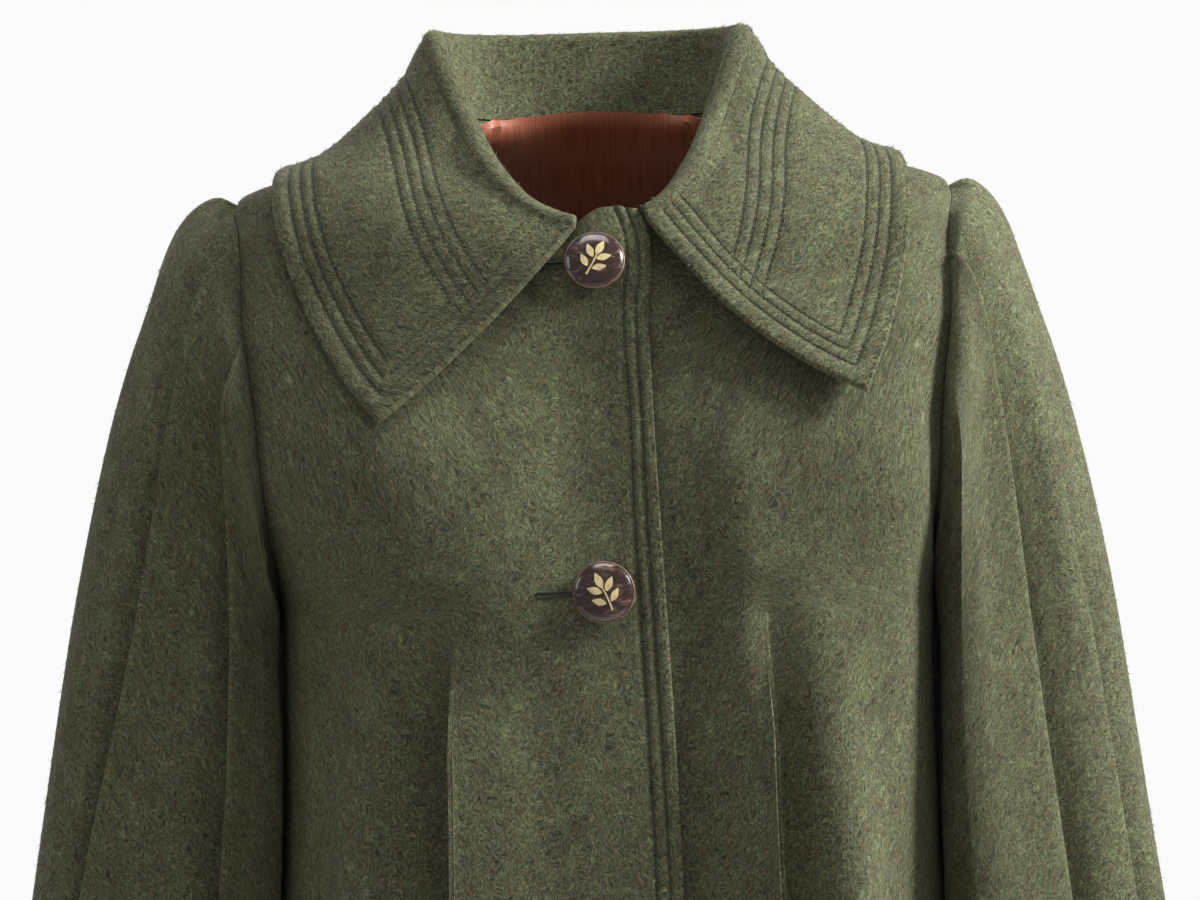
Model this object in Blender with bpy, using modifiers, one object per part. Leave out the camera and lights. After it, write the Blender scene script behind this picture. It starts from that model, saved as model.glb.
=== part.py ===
"""A knee-length loden coat as it hangs when worn: two lapped fronts with a released pleat each, a plain
back, two wide pleated sleeves, a large turned-down collar, a strip of lining at the back neck and five
buttons.

Metres. X runs to the wearer's left, which is the viewer's right, -Y is the front and Z is up. The origin
is in the middle of the neck, level with the points where the shoulder seams meet the collar. Every body
panel is drawn on one surface, given by a turn about the body (0 at the middle of the front or back, 90
degrees at the side) and a height.
"""

import math
from collections import namedtuple

import bpy
import numpy as np
from mathutils import Vector
from mathutils.bvhtree import BVHTree

MM = 0.001

# Cloth
WALL = 2.5 * MM
COLLAR_WALL = 4.0 * MM
LINING_WALL = 1.0 * MM
SEAM_GAP = 0.6 * MM

# Body
SIDE_NECK_X = 72 * MM
SHOULDER_TIP_X, SHOULDER_TIP_Z = 192 * MM, -45 * MM
FRONT_NECK_Z, BACK_NECK_Z = -75 * MM, 4 * MM
LAP_PEAK = 13 * MM  # how far the top corner of the right front stands up
LAP_RISE = (-18 * MM, 4 * MM)  # where it rises, from the middle of the front
LAP_CORNER = 5 * MM  # how far its corner is rounded off
UNDERARM_Z, CHEST_Z = -265 * MM, -350 * MM
HEM_Z = -1050 * MM
ROUNDNESS = 2.4  # 2 is an oval, more is squarer
ARMHOLE_PULL = 0.9  # how near to the armhole the rows bend to follow it
MIDDLE_COLUMNS, SIDE_COLUMNS = 8, 13  # columns of points on each side of a front's pleat
UNDERLAP = 3.2 * MM  # how far the left front lies under the right one
UNDERLAP_EASE = (41 * MM, 72 * MM)  # where it comes back up, from the middle of the front

Level = namedtuple("Level", "z half_width front back side")
LEVELS = [
    Level(*(MM * size for size in row))
    for row in (
        (4, 88, 8, 62, 5),
        (0, 72, 10, 64, 5),
        (-26, 141, 33, 77, 5),
        (-45, 192, 60, 88, 5),
        (-66, 195, 81, 97, 5),
        (-88, 196, 89, 104, 5),
        (-130, 195, 105, 112, 5),
        (-190, 189, 121, 116, 5),
        (-265, 172, 131, 116, 5),
        (-350, 173, 141, 119, 5),
        (-425, 177, 150, 128, 4),
        (-640, 211, 172, 170, 2),
        (-840, 262, 200, 212, 0),
        (-1050, 318, 232, 256, 0),
    )
]

Armhole = namedtuple("Armhole", "z front_x back_x")
ARMHOLE = [
    Armhole(*(MM * size for size in row))
    for row in (
        (-45, 192, 192),
        (-90, 181, 181),
        (-130, 174, 175),
        (-190, 166, 169),
        (-235, 169, 170),
        (-265, 172, 172),
    )
]

LAP_EDGE = [
    (MM * z, MM * x)
    for z, x in ((-62, 18), (-92, 28), (-118, 25), (-169, 26), (-396, 33), (-1050, 37))
]

# The released pleat of each front: the middle of the front lies over the side
Pleat = namedtuple("Pleat", "x x_hem top full depth depth_hem")
PLEAT_RIGHT = Pleat(74 * MM, 92 * MM, -272 * MM, -400 * MM, 13 * MM, 26 * MM)
PLEAT_LEFT = Pleat(78 * MM, 96 * MM, -266 * MM, -400 * MM, 13 * MM, 26 * MM)
PLEAT_LIFT = 0.22  # share of its depth by which the fold stands up
PLEAT_UNDER = 0.30  # share of its depth by which the fold hangs over
PLEAT_REACH = 26 * MM
ROLL_HEIGHT, ROLL_AT, ROLL_REACH = 9 * MM, 44 * MM, 24 * MM  # the soft roll beside the pleat
ROLL_FULL_Z = -520 * MM

# Soft waves of the back
BACK_WAVES = 4.5
BACK_WAVE_TOP, BACK_WAVE_DEPTH = -330 * MM, 17 * MM

# Sleeves
CUFF_Z, SLEEVE_RING_Z = -640 * MM, -290 * MM
SLEEVE_ROUNDNESS, SLEEVE_RADIUS = 2.3, 85 * MM
SLEEVE_SKEW = 0.10  # the front of the sleeve leans over the body
SLEEVE_CLEAR, SLEEVE_EASE = 3.0 * MM, 4 * MM  # between sleeve and body, and what its folds need besides
SLEEVE_SPREAD_RIGHT, SLEEVE_SPREAD_LEFT = 0.018, -0.028  # how much wider each hangs, for its length
SLEEVE_PUFF_RIGHT, SLEEVE_PUFF_LEFT = 1.3, 1.0  # fullness of each sleeve's head
ARMHOLE_GAP = 0.7 * MM
HEAD_CROWDING = 2.2  # how far the fullness gathers at the top of the armhole
Ring = namedtuple("Ring", "z inner outer front back")
SLEEVE_RINGS = [
    Ring(*(MM * size for size in row))
    for row in (
        (-290, 162, 280, -94, 100),
        (-350, 159, 290, -104, 106),
        (-425, 161, 302, -112, 112),
        (-640, 200, 340, -126, 126),
    )
]
Head = namedtuple("Head", "turn out forward up hang")
SLEEVE_HEAD = [
    Head(turn, MM * out, MM * forward, MM * up, MM * hang)
    for turn, out, forward, up, hang in (
        (0, 38, 0, 14, 110),
        (50, 24, 18, -8, 100),
        (90, 11, 32, -18, 80),
        (120, 5, 34, -26, 60),
        (150, 3, 20, -22, 30),
        (180, 1, 0, -8, 9),
    )
]
Fold = namedtuple("Fold", "turn top depth depth_cuff")
BACK_FOLDS = ((-64, -80, 7, 15), (-112, -120, 7, 14))
FOLDS_RIGHT = [
    Fold(turn, MM * top, MM * depth, MM * cuff)
    for turn, top, depth, cuff in ((77, -62, 12, 24), (112, -115, 11, 22), *BACK_FOLDS)
]
FOLDS_LEFT = [
    Fold(turn, MM * top, MM * depth, MM * cuff)
    for turn, top, depth, cuff in ((51, -235, 8, 19), (87, -60, 12, 23), (118, -150, 9, 20), *BACK_FOLDS)
]
FOLD_LIFT, FOLD_SINK, FOLD_UNDER = 0.6, 0.4, 0.22
FOLD_REACH = 24 * MM
FOLD_RISE = 70 * MM
FOLD_WIDTH = 1.5 * MM

# Collar
ROLL_RADIUS = 4.6 * MM
COLLAR_CLEAR = 2.3 * MM
LEAF_BOW = {"right": 0.0, "left": 9 * MM}  # how far the front edge of each leaf bows down
NECK_INSET, END_INSET = 3 * MM, 4.4 * MM  # how far inside the front neckline the collar's foot and ends lie
COLLAR_END_RIGHT, COLLAR_END_LEFT = 10 * MM, 26 * MM  # from the middle of the front
Station = namedtuple("Station", "share out up right_x right_z right_lift left_x left_z left_lift")
COLLAR = [
    Station(share, *(MM * size for size in sizes))
    for share, *sizes in (
        (0.00, 8, 44, 0, -65, 5, 0, -65, 5),
        (0.20, 9, 44, 84, -62, 5, 82, -61, 5),
        (0.34, 10, 42, 142, -48, 5, 139, -46, 5),
        (0.45, 8, 37, 166, -29, 3, 162, -27, 3),
        (0.64, -4, 12, 157, -82, 7, 160, -74, 9),
        (0.83, -5, 6, 131, -136, 8, 147, -121, 14),
        (1.00, 0, 1, 107, -167, 10, 130, -157, 18),
    )
]

# Lining
LINING_HALF_WIDTH, LINING_END_Z = 100 * MM, -150 * MM
LINING_GAP = 1.0 * MM

# Buttons
BUTTON_HEIGHTS = [MM * z for z in (-90, -252, -421, -590, -759)]
BUTTON_STEPS, BUTTON_GAP = 16, 0.4 * MM
BUTTON_PROFILE = [
    (MM * radius, MM * height)
    for radius, height in (
        (0, 6.6), (7, 6.4), (12.4, 5.7), (14.6, 4.7), (15, 3.6), (14.2, 2.5), (3.5, 2.1), (3.5, 0), (0, 0),
    )
]

LODEN, LINING, BUTTON = (0.075, 0.082, 0.040), (0.30, 0.085, 0.035), (0.030, 0.014, 0.009)


def through(stations, values):
    """A smooth curve through the values, rising and falling only where they do."""
    order = np.argsort(stations)
    x, y = np.array(stations, float)[order], np.array(values, float)[order]
    step = np.diff(x)
    rise = np.diff(y) / step
    slope = np.zeros_like(y)
    before, after = rise[:-1], rise[1:]
    steady = before * after > 0
    slope[1:-1][steady] = (2 * before * after)[steady] / (before + after)[steady]
    slope[0], slope[-1] = rise[0], rise[-1]

    def at(where):
        where = np.clip(where, x[0], x[-1])
        i = np.clip(np.searchsorted(x, where, side="right") - 1, 0, len(step) - 1)
        t = (where - x[i]) / step[i]
        return (
            (1 + 2 * t) * (1 - t) ** 2 * y[i]
            + t * (1 - t) ** 2 * step[i] * slope[i]
            + t * t * (3 - 2 * t) * y[i + 1]
            + t * t * (t - 1) * step[i] * slope[i + 1]
        )

    return at


def columns(rows, key):
    """Each column of a table as a smooth curve against its key column."""
    keys = [getattr(row, key) for row in rows]
    return {
        name: through(keys, [getattr(row, name) for row in rows]) for name in rows[0]._fields if name != key
    }


LEVEL = columns(LEVELS, "z")
HOLE = columns(ARMHOLE, "z")
LAP = through(*zip(*LAP_EDGE))
RING = columns(SLEEVE_RINGS, "z")
HEAD = columns(SLEEVE_HEAD, "turn")
SEAT = columns(COLLAR, "share")
FRONT, BACK = -1, 1


def ease(start, end, where):
    """0 up to the start, 1 from the end on, smooth between."""
    t = np.clip((where - start) / (end - start), 0, 1)
    return t * t * (3 - 2 * t)


def turn_of(x, z):
    share = np.clip(np.abs(x) / LEVEL["half_width"](z), 0, 1)
    return np.sign(x) * np.arcsin(share ** (ROUNDNESS / 2))


def on_body(turn, z, facing):
    """Points of the body surface, with x towards the side."""
    x = LEVEL["half_width"](z) * np.sign(turn) * np.abs(np.sin(turn)) ** (2 / ROUNDNESS)
    bulge = np.clip(np.cos(turn), 0, 1) ** (2 / ROUNDNESS)
    side = LEVEL["side"](z)
    depth = LEVEL["front"](z) + side if facing == FRONT else LEVEL["back"](z) - side
    return np.stack([x, side + facing * (depth * bulge + SEAM_GAP / 2), z], axis=-1)


def neckline(angle, facing):
    """Turn and height on the neckline: 0 at the middle, a quarter turn at the shoulder seam."""
    low = FRONT_NECK_Z if facing == FRONT else BACK_NECK_Z
    x, z = SIDE_NECK_X * np.sin(angle), low * np.cos(angle)
    return turn_of(x, z), z


def armhole_turn(z, facing):
    return turn_of(HOLE["front_x" if facing == FRONT else "back_x"](z), z)


def armhole_line(facing, count=200):
    z = np.linspace(SHOULDER_TIP_Z, UNDERARM_Z, count)
    return on_body(armhole_turn(z, facing), z, facing)


def along(line, shares):
    """Points at these shares of a line's length."""
    walked = np.concatenate([[0], np.cumsum(np.linalg.norm(np.diff(line, axis=0), axis=1))])
    at = np.asarray(shares) * walked[-1]
    return np.stack([np.interp(at, walked, line[:, axis]) for axis in range(line.shape[1])], axis=-1)


def level_turns(z, start, end, facing, shares):
    """Turns at these shares of the way round one level, from the start turn to the end turn."""
    turns = np.linspace(start, end, 120)
    line = on_body(turns, np.full_like(turns, z), facing)
    walked = np.concatenate([[0], np.cumsum(np.linalg.norm(np.diff(line, axis=0), axis=1))])
    return np.interp(np.asarray(shares) * walked[-1], walked, turns)


def body_grid(facing, breaks, shoulder_rows, arm_rows, lower_z):
    """Rows of points from the neckline down to the hem.

    breaks holds (x at a height, shares of the way to the next break), from the front edge or the middle of
    the back outwards; the last stretch ends at the side seam.
    """
    starts = [start for start, _ in breaks]

    def row_turns(z):
        ends = [turn_of(start(z), z) for start in starts] + [math.pi / 2]
        return np.concatenate(
            [level_turns(z, ends[i], ends[i + 1], facing, shares) for i, (_, shares) in enumerate(breaks)]
        )

    bottom_turn = row_turns(UNDERARM_Z)
    bottom = on_body(bottom_turn, np.full_like(bottom_turn, UNDERARM_Z), facing)
    walked = np.concatenate([[0], np.cumsum(np.linalg.norm(np.diff(bottom, axis=0), axis=1))])
    across = walked / walked[-1]

    first_x = starts[0](FRONT_NECK_Z if facing == FRONT else BACK_NECK_Z)
    angle = math.asin(first_x / SIDE_NECK_X)
    top_turn, top_z = neckline(angle + (math.pi / 2 - angle) * across, facing)

    arm_z = along(armhole_line(facing), np.linspace(0, 1, arm_rows + 1))[1:, 2]
    right_z = np.concatenate([np.linspace(0, SHOULDER_TIP_Z, shoulder_rows + 1), arm_z])
    down = np.linspace(0, 1, len(right_z))
    right_turn = np.where(right_z > SHOULDER_TIP_Z, math.pi / 2, armhole_turn(right_z, facing))
    left_z = top_z[0] + (UNDERARM_Z - top_z[0]) * down
    left_turn = turn_of(starts[0](left_z), left_z)

    u, v = across[None, :] ** ARMHOLE_PULL, down[:, None]
    top_shape = (top_turn - top_turn[0]) / (top_turn[-1] - top_turn[0])
    bottom_shape = (bottom_turn - bottom_turn[0]) / (bottom_turn[-1] - bottom_turn[0])
    turn = left_turn[:, None] + (right_turn - left_turn)[:, None] * ((1 - v) * top_shape + v * bottom_shape)
    z = (
        (1 - v) * (top_z - (1 - u) * top_z[0] - u * top_z[-1])
        + (1 - u) * left_z[:, None] + u * right_z[:, None]
    )
    upper = on_body(np.minimum(turn, math.pi / 2), z, facing)
    lower = np.stack(
        [on_body(row_turns(level), np.full_like(across, level), facing) for level in lower_z[1:]]
    )
    return np.concatenate([upper, lower])


def surface_tree(*grids):
    """The given grids of points, each with outward faces, for finding the nearest cloth."""
    points, faces = [], []
    for grid, flip in grids:
        rows, count = grid.shape[:2]
        first = len(points)
        points.extend(Vector(point) for point in grid.reshape(-1, 3))
        for r in range(rows - 1):
            for c in range(count - 1):
                corner = first + r * count + c
                face = (corner, corner + count, corner + count + 1, corner + 1)
                faces.append(face[::-1] if flip else face)
    return BVHTree.FromPolygons(points, faces)


def clear_of(tree, points, gap):
    """The points, those nearer than the gap to the cloth moved out to it."""
    made = []
    for point in points:
        point = Vector(point)
        for _ in range(3):
            near, out, _, _ = tree.find_nearest(point)
            short = gap - (point - near).dot(out)
            if short > 0:
                point = point + out * short
        made.append(point)
    return np.array(made)


def normals(grid, closed=False):
    """Unit normals of a grid of points, facing out for rows that run down and columns that run to +X."""
    if closed:
        across = np.roll(grid, -1, axis=1) - np.roll(grid, 1, axis=1)
    else:
        across = np.gradient(grid, axis=1)
    found = np.cross(np.gradient(grid, axis=0), across)
    return found / np.maximum(np.linalg.norm(found, axis=2, keepdims=True), 1e-12)


def distances(grid, column):
    """How far each point is from one column, along its row and with a sign."""
    steps = np.linalg.norm(np.diff(grid, axis=1), axis=2)
    walked = np.concatenate([np.zeros((len(grid), 1)), np.cumsum(steps, axis=1)], axis=1)
    return walked - walked[:, column : column + 1]


def front_panel(pleat, tucked):
    """One front, with x towards its side seam."""
    def pleat_x(z):
        return pleat.x + (pleat.x_hem - pleat.x) * ease(pleat.full, HEM_Z, z)

    breaks = [
        (lambda z: -LAP(z), np.linspace(0, 1, MIDDLE_COLUMNS)),
        (lambda z: pleat_x(z) + FOLD_WIDTH, np.append(np.linspace(0, 0.97, SIDE_COLUMNS) ** 1.2, 1.0)),
    ]
    lower_z = np.concatenate(
        [np.linspace(UNDERARM_Z, CHEST_Z, 5), np.linspace(CHEST_Z, HEM_Z, 10)[1:]]
    )
    grid = body_grid(FRONT, breaks, 6, 8, lower_z)
    if not tucked:
        lap = -grid[..., 0]
        rise = LAP_PEAK * ease(*LAP_RISE, lap) - LAP_CORNER * ease(10 * MM, LAP(FRONT_NECK_Z), lap)
        grid[..., 2] += rise * ease(FRONT_NECK_Z - 60 * MM, FRONT_NECK_Z, grid[..., 2])
    z, fold, foot = grid[..., 2], MIDDLE_COLUMNS - 1, MIDDLE_COLUMNS
    # The fold's own column lies its width before the foot of the pleat.
    away = distances(grid, foot)
    grid[:, fold] = grid[:, foot] + (grid[:, fold - 1] - grid[:, foot]) * (
        FOLD_WIDTH / np.linalg.norm(grid[:, fold - 1] - grid[:, foot], axis=1, keepdims=True)
    )
    out = normals(grid)
    deep = ease(pleat.top, pleat.full, z) * (
        pleat.depth + (pleat.depth_hem - pleat.depth) * ease(pleat.full, HEM_Z, z)
    )
    inner = np.arange(grid.shape[1]) <= fold
    raised = np.where(inner, PLEAT_LIFT * deep * np.exp(np.minimum(away, 0) / PLEAT_REACH), 0)
    sunk = np.where(~inner, -(1 - PLEAT_LIFT) * deep * np.exp(-((np.maximum(away, 0) / PLEAT_REACH) ** 2)), 0)
    roll = ROLL_HEIGHT * ease(pleat.top, ROLL_FULL_Z, z) * np.exp(-(((away - ROLL_AT) / ROLL_REACH) ** 2))
    tuck = -UNDERLAP * (1 - ease(*UNDERLAP_EASE, grid[..., 0])) if tucked else 0
    made = grid + out * (raised + sunk + np.where(inner, 0, roll) + tuck)[..., None]
    sideways = grid[:, foot + 1] - grid[:, foot]
    sideways /= np.linalg.norm(sideways, axis=1, keepdims=True)
    made[:, foot] -= sideways * (PLEAT_UNDER * deep[:, foot])[:, None]
    return made


def back_panel():
    """The whole back: one half with x towards its side seam, and its mirror image."""
    shares = np.append(np.linspace(0, 0.975, 13), 1.0)
    breaks = [(lambda z: 0.0 * z, shares)]
    lower_z = np.concatenate(
        [np.linspace(UNDERARM_Z, CHEST_Z, 3), np.linspace(CHEST_Z, HEM_Z, 9)[1:]]
    )
    grid = body_grid(BACK, breaks, 5, 7, lower_z)
    wave = np.cos(shares * math.pi * BACK_WAVES) * (1 - ease(0.86, 1.0, shares))
    depth = BACK_WAVE_DEPTH * ease(BACK_WAVE_TOP, HEM_Z, grid[..., 2])
    grid = grid - normals(grid) * (wave * depth)[..., None]
    return np.concatenate([grid[:, :0:-1] * (-1, 1, 1), grid], axis=1)


def sleeve_turns(folds, spacing):
    """The turns of a sleeve's columns: even ones, with a close pair at each fold."""
    pair = math.degrees(FOLD_WIDTH / 2 / SLEEVE_RADIUS)
    turns = set()
    for turn in np.arange(-180, 180, spacing):
        if all(abs(turn - fold.turn) > 0.75 * spacing for fold in folds):
            turns.add(float(turn))
    for fold in folds:
        turns.update(fold.turn + aside for aside in (-0.6 * spacing, -pair, pair, 0.6 * spacing))
    return np.array(sorted(turns))


def sleeve_ring(turns, z, spread):
    inner, outer, front, back = (RING[name](z) for name in ("inner", "outer", "front", "back"))
    outer = outer + spread * (SHOULDER_TIP_Z - z)
    rad = np.radians(turns)
    power = 2 / SLEEVE_ROUNDNESS
    wide = np.sign(np.cos(rad)) * np.abs(np.cos(rad)) ** power
    deep = np.sign(np.sin(rad)) * np.abs(np.sin(rad)) ** power
    middle, half = (front + back) / 2, (back - front) / 2
    y = middle - half * deep
    x = (inner + outer) / 2 + (outer - inner) / 2 * wide + SLEEVE_SKEW * (y - middle) * (1 - wide) / 2
    return np.stack([x, y, np.full_like(x, z)], axis=-1)


def sleeve_grid(body, folds, spread, puff, spacing=12, head_rows=9, arm_rows=8):
    """Rows of points from the armhole down to the cuff, on the wearer's left; each row is closed."""
    turns = sleeve_turns(folds, spacing)
    share = (np.abs(turns) / 180) ** HEAD_CROWDING
    front_line, back_line = along(armhole_line(FRONT), share), along(armhole_line(BACK), share)
    starts = np.where(turns[:, None] >= 0, front_line, back_line)
    starts[:, 1] = np.where(np.abs(turns) % 180 < 1e-6, LEVEL["side"](starts[:, 2]), starts[:, 1])
    starts[:, 0] += ARMHOLE_GAP
    ring = sleeve_ring(turns, SLEEVE_RING_Z, spread)
    below = sleeve_ring(turns, SLEEVE_RING_Z - 40 * MM, spread) - ring
    below /= np.linalg.norm(below, axis=1, keepdims=True)
    out, forward, up, hang = (HEAD[name](np.abs(turns)) for name in ("out", "forward", "up", "hang"))
    leave = np.stack([out * puff, -forward * np.sign(turns), up], axis=-1)
    t = np.linspace(0, 1, head_rows + 1)[:, None, None] ** 1.15
    head = (
        (1 - t) ** 3 * starts + 3 * t * (1 - t) ** 2 * (starts + leave)
        + 3 * t * t * (1 - t) * (ring - below * hang[:, None]) + t**3 * ring
    )
    arm = [sleeve_ring(turns, z, spread) for z in np.linspace(SLEEVE_RING_Z, CUFF_Z, arm_rows + 1)[1:]]
    grid = np.concatenate([head, np.array(arm)])
    for row in range(1, len(grid)):
        grid[row] = clear_of(body, grid[row], (SLEEVE_CLEAR + SLEEVE_EASE) * min(1, row / head_rows))
    return pleated_sleeve(grid, turns, folds)


def pleated_sleeve(grid, turns, folds):
    """The folds laid into a sleeve: the inner piece lies over the outer one at each."""
    out = -normals(grid, closed=True)
    z = grid[..., 2]
    offset = np.zeros(z.shape)
    shift = np.zeros(grid.shape)
    drop = np.cumsum(np.linalg.norm(np.diff(grid, axis=0, prepend=grid[:1]), axis=2), axis=0)
    steps = np.linalg.norm(np.roll(grid, -1, axis=1) - grid, axis=2)
    walked = np.concatenate([np.zeros((len(grid), 1)), np.cumsum(steps[:, :-1], axis=1)], axis=1)
    for fold in folds:
        way = 1 if fold.turn > 0 else -1
        at = int(np.searchsorted(turns, fold.turn))
        edge, foot = (at, at - 1) if way > 0 else (at - 1, at)
        deep = ease(0, FOLD_RISE / 2, drop) * ease(fold.top, fold.top - FOLD_RISE, z) * (
            fold.depth + (fold.depth_cuff - fold.depth) * ease(SLEEVE_RING_Z, CUFF_Z, z)
        )
        inwards = way * (walked - (walked[:, at : at + 1] + walked[:, at - 1 : at]) / 2)
        fade = np.exp(-((inwards / FOLD_REACH) ** 2))
        offset += deep * fade * np.where(inwards > 0, FOLD_LIFT, -FOLD_SINK)
        along_row = grid[:, edge] - grid[:, foot]
        along_row = along_row / np.linalg.norm(along_row, axis=1, keepdims=True)
        shift[:, foot] += along_row * (FOLD_UNDER * deep[:, foot])[:, None]
    return grid + out * offset[..., None] + shift


def neck_path(end_x, count=160):
    """The neckline of one half, from the middle of the back to the collar's end, with x outwards."""
    last = math.asin(end_x / SIDE_NECK_X)
    back = on_body(*neckline(np.linspace(0, math.pi / 2, count), BACK), BACK)
    front = on_body(*neckline(np.linspace(math.pi / 2, last, count), FRONT), FRONT)
    return np.concatenate([back, front[1:]])


def half_collar(body, side, shares, stand_rows, roll_rows, fall_rows):
    """Rows of one half of the collar's middle surface, from the neck seam over the roll to the edge."""
    end_x = COLLAR_END_RIGHT if side == "right" else COLLAR_END_LEFT
    path = neck_path(end_x)
    base = along(path, shares)
    ahead = along(path, np.clip(shares + 0.01, 0, 1)) - along(path, np.clip(shares - 0.01, 0, 1))
    outward = np.stack([-ahead[:, 1], ahead[:, 0], np.zeros(len(shares))], axis=-1)
    outward /= np.linalg.norm(outward, axis=1, keepdims=True)
    up = np.array([0, 0, 1.0])
    inset = WALL / 2 + NECK_INSET * ease(0.4, 0.7, shares)
    inset += (END_INSET - NECK_INSET) * ease(0.85, 0.97, shares)
    base = base + up * (WALL / 2 + SEAM_GAP) - outward * inset[:, None]
    top = base + outward * SEAT["out"](shares)[:, None] + up * SEAT["up"](shares)[:, None]
    edge_x, edge_z, lift = (SEAT[f"{side}_{name}"](shares) for name in ("x", "z", "lift"))
    facing = np.where(shares < 0.45, BACK, FRONT)
    turn = turn_of(edge_x, edge_z)
    edge = np.where(
        facing[:, None] == BACK, on_body(turn, edge_z, BACK), on_body(turn, edge_z, FRONT)
    )
    edge[:, 0] = edge_x
    edge[:, 1] += facing * lift * ease(0.0, 0.10, np.abs(shares - 0.45))
    rows = [base + (top - base) * t for t in np.linspace(0, 1, stand_rows + 1)]
    for angle in np.linspace(0, math.pi, roll_rows + 1)[1:]:
        rows.append(top + outward * ROLL_RADIUS * (1 - math.cos(angle)) + up * ROLL_RADIUS * math.sin(angle))
    start = rows[-1]
    drop = start - up * 0.30 * np.linalg.norm(edge - start, axis=1, keepdims=True)
    swell = ease(0.28, 0.45, shares) * (1 - ease(0.45, 0.62, shares))
    for t in np.linspace(0, 1, fall_rows + 1)[1:]:
        straight = start + (edge - start) * t
        bent = (1 - t) ** 2 * start + 2 * t * (1 - t) * (drop * 0.5 + (start + edge) * 0.25) + t * t * edge
        point = bent + (straight - bent) * (0.55 + 0.45 * swell)[:, None]
        point[:, 2] -= LEAF_BOW[side] * 4 * t * (1 - t) * ease(0.6, 1.0, shares)
        rows.append(clear_of(body, point, (COLLAR_WALL / 2 + COLLAR_CLEAR) * ease(0.0, 0.12, t)))
    return np.array(rows)


def collar_grid(right_body, left_body, stand_rows=2, roll_rows=4, fall_rows=6):
    shares = np.concatenate(
        [np.linspace(0, 0.34, 6), np.linspace(0.34, 0.60, 10)[1:], np.linspace(0.60, 1, 7)[1:]]
    )
    right = half_collar(right_body, "right", shares, stand_rows, roll_rows, fall_rows) * (-1, 1, 1)
    left = half_collar(left_body, "left", shares, stand_rows, roll_rows, fall_rows)
    return np.concatenate([right[:, :0:-1], left], axis=1)


def lining_grid():
    """A strip inside the back, from just under the neckline down."""
    x = np.linspace(-1, 1, 15)
    rows = []
    for t in np.linspace(0, 1, 7):
        half = min(LINING_HALF_WIDTH, SIDE_NECK_X * 0.9 + 60 * MM * t)
        z = BACK_NECK_Z - 1 * MM - 6 * MM * (x * half / SIDE_NECK_X) ** 2
        z = z + (LINING_END_Z - z) * t
        rows.append(on_body(turn_of(x * half, z), z, BACK))
    grid = np.array(rows)
    return grid + normals(grid) * (WALL + LINING_GAP)


def material(name, colour, roughness):
    made = bpy.data.materials.new(name)
    made.use_nodes = True
    shader = made.node_tree.nodes["Principled BSDF"]
    shader.inputs["Base Color"].default_value = (*colour, 1)
    shader.inputs["Roughness"].default_value = roughness
    return made


def add_object(name, mesh, look):
    made = bpy.data.objects.new(name, mesh)
    made.data.materials.append(look)
    COAT.objects.link(made)
    return made


def add_cloth(name, grid, look, wall, offset=-1, closed=False, flip=False):
    """A grid of points as cloth: an open surface with Solidify."""
    rows, count = grid.shape[:2]
    wide = count if closed else count - 1
    faces = []
    for r in range(rows - 1):
        for c in range(wide):
            n = (c + 1) % count
            face = (r * count + c, (r + 1) * count + c, (r + 1) * count + n, r * count + n)
            faces.append(face[::-1] if flip else face)
    mesh = bpy.data.meshes.new(name)
    mesh.from_pydata([tuple(map(float, point)) for point in grid.reshape(-1, 3)], [], faces)
    made = add_object(name, mesh, look)
    thick = made.modifiers.new("Wall", "SOLIDIFY")
    thick.thickness, thick.offset, thick.use_even_offset = wall, offset, True
    thick.thickness_clamp = 2.0
    split = made.modifiers.new("Triangles", "TRIANGULATE")
    split.quad_method = "SHORTEST_DIAGONAL"
    return made


def add_button(name, z, panel, look):
    """A button seated on the right front at this height, square to the cloth."""

    def middle_y(height):
        """How far forward the middle of the front is at this height."""
        lines = panel.swapaxes(0, 1)[:MIDDLE_COLUMNS]
        across, forward = (
            [np.interp(-height, -line[:, 2], line[:, axis]) for line in lines] for axis in (0, 1)
        )
        return float(np.interp(0.0, across, forward))

    y, reach = middle_y(z), 8 * MM
    out = Vector((0, -1, (middle_y(z + reach) - y) / reach)).normalized()
    mesh = bpy.data.meshes.new(name)
    points = [(radius, 0, height) for radius, height in BUTTON_PROFILE]
    mesh.from_pydata(points, [(i, i + 1) for i in range(len(points) - 1)], [])
    made = add_object(name, mesh, look)
    turned = made.modifiers.new("Turned", "SCREW")
    turned.steps = turned.render_steps = BUTTON_STEPS
    turned.use_merge_vertices, turned.merge_threshold = True, 1e-5
    made.location = Vector((0, y, z)) + out * BUTTON_GAP
    made.rotation_euler = out.to_track_quat("Z", "Y").to_euler()
    return made


for old in list(bpy.data.objects):
    bpy.data.objects.remove(old)
COAT = bpy.data.collections.new("Loden coat")
bpy.context.scene.collection.children.link(COAT)
loden = material("Loden", LODEN, 0.95)
lining = material("Lining satin", LINING, 0.5)
horn = material("Button horn", BUTTON, 0.25)

right_front = front_panel(PLEAT_RIGHT, tucked=False)
left_front = front_panel(PLEAT_LEFT, tucked=True)
back = back_panel()
right_body = surface_tree((right_front, False), (back, True))
left_body = surface_tree((left_front, False), (back, True))

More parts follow.
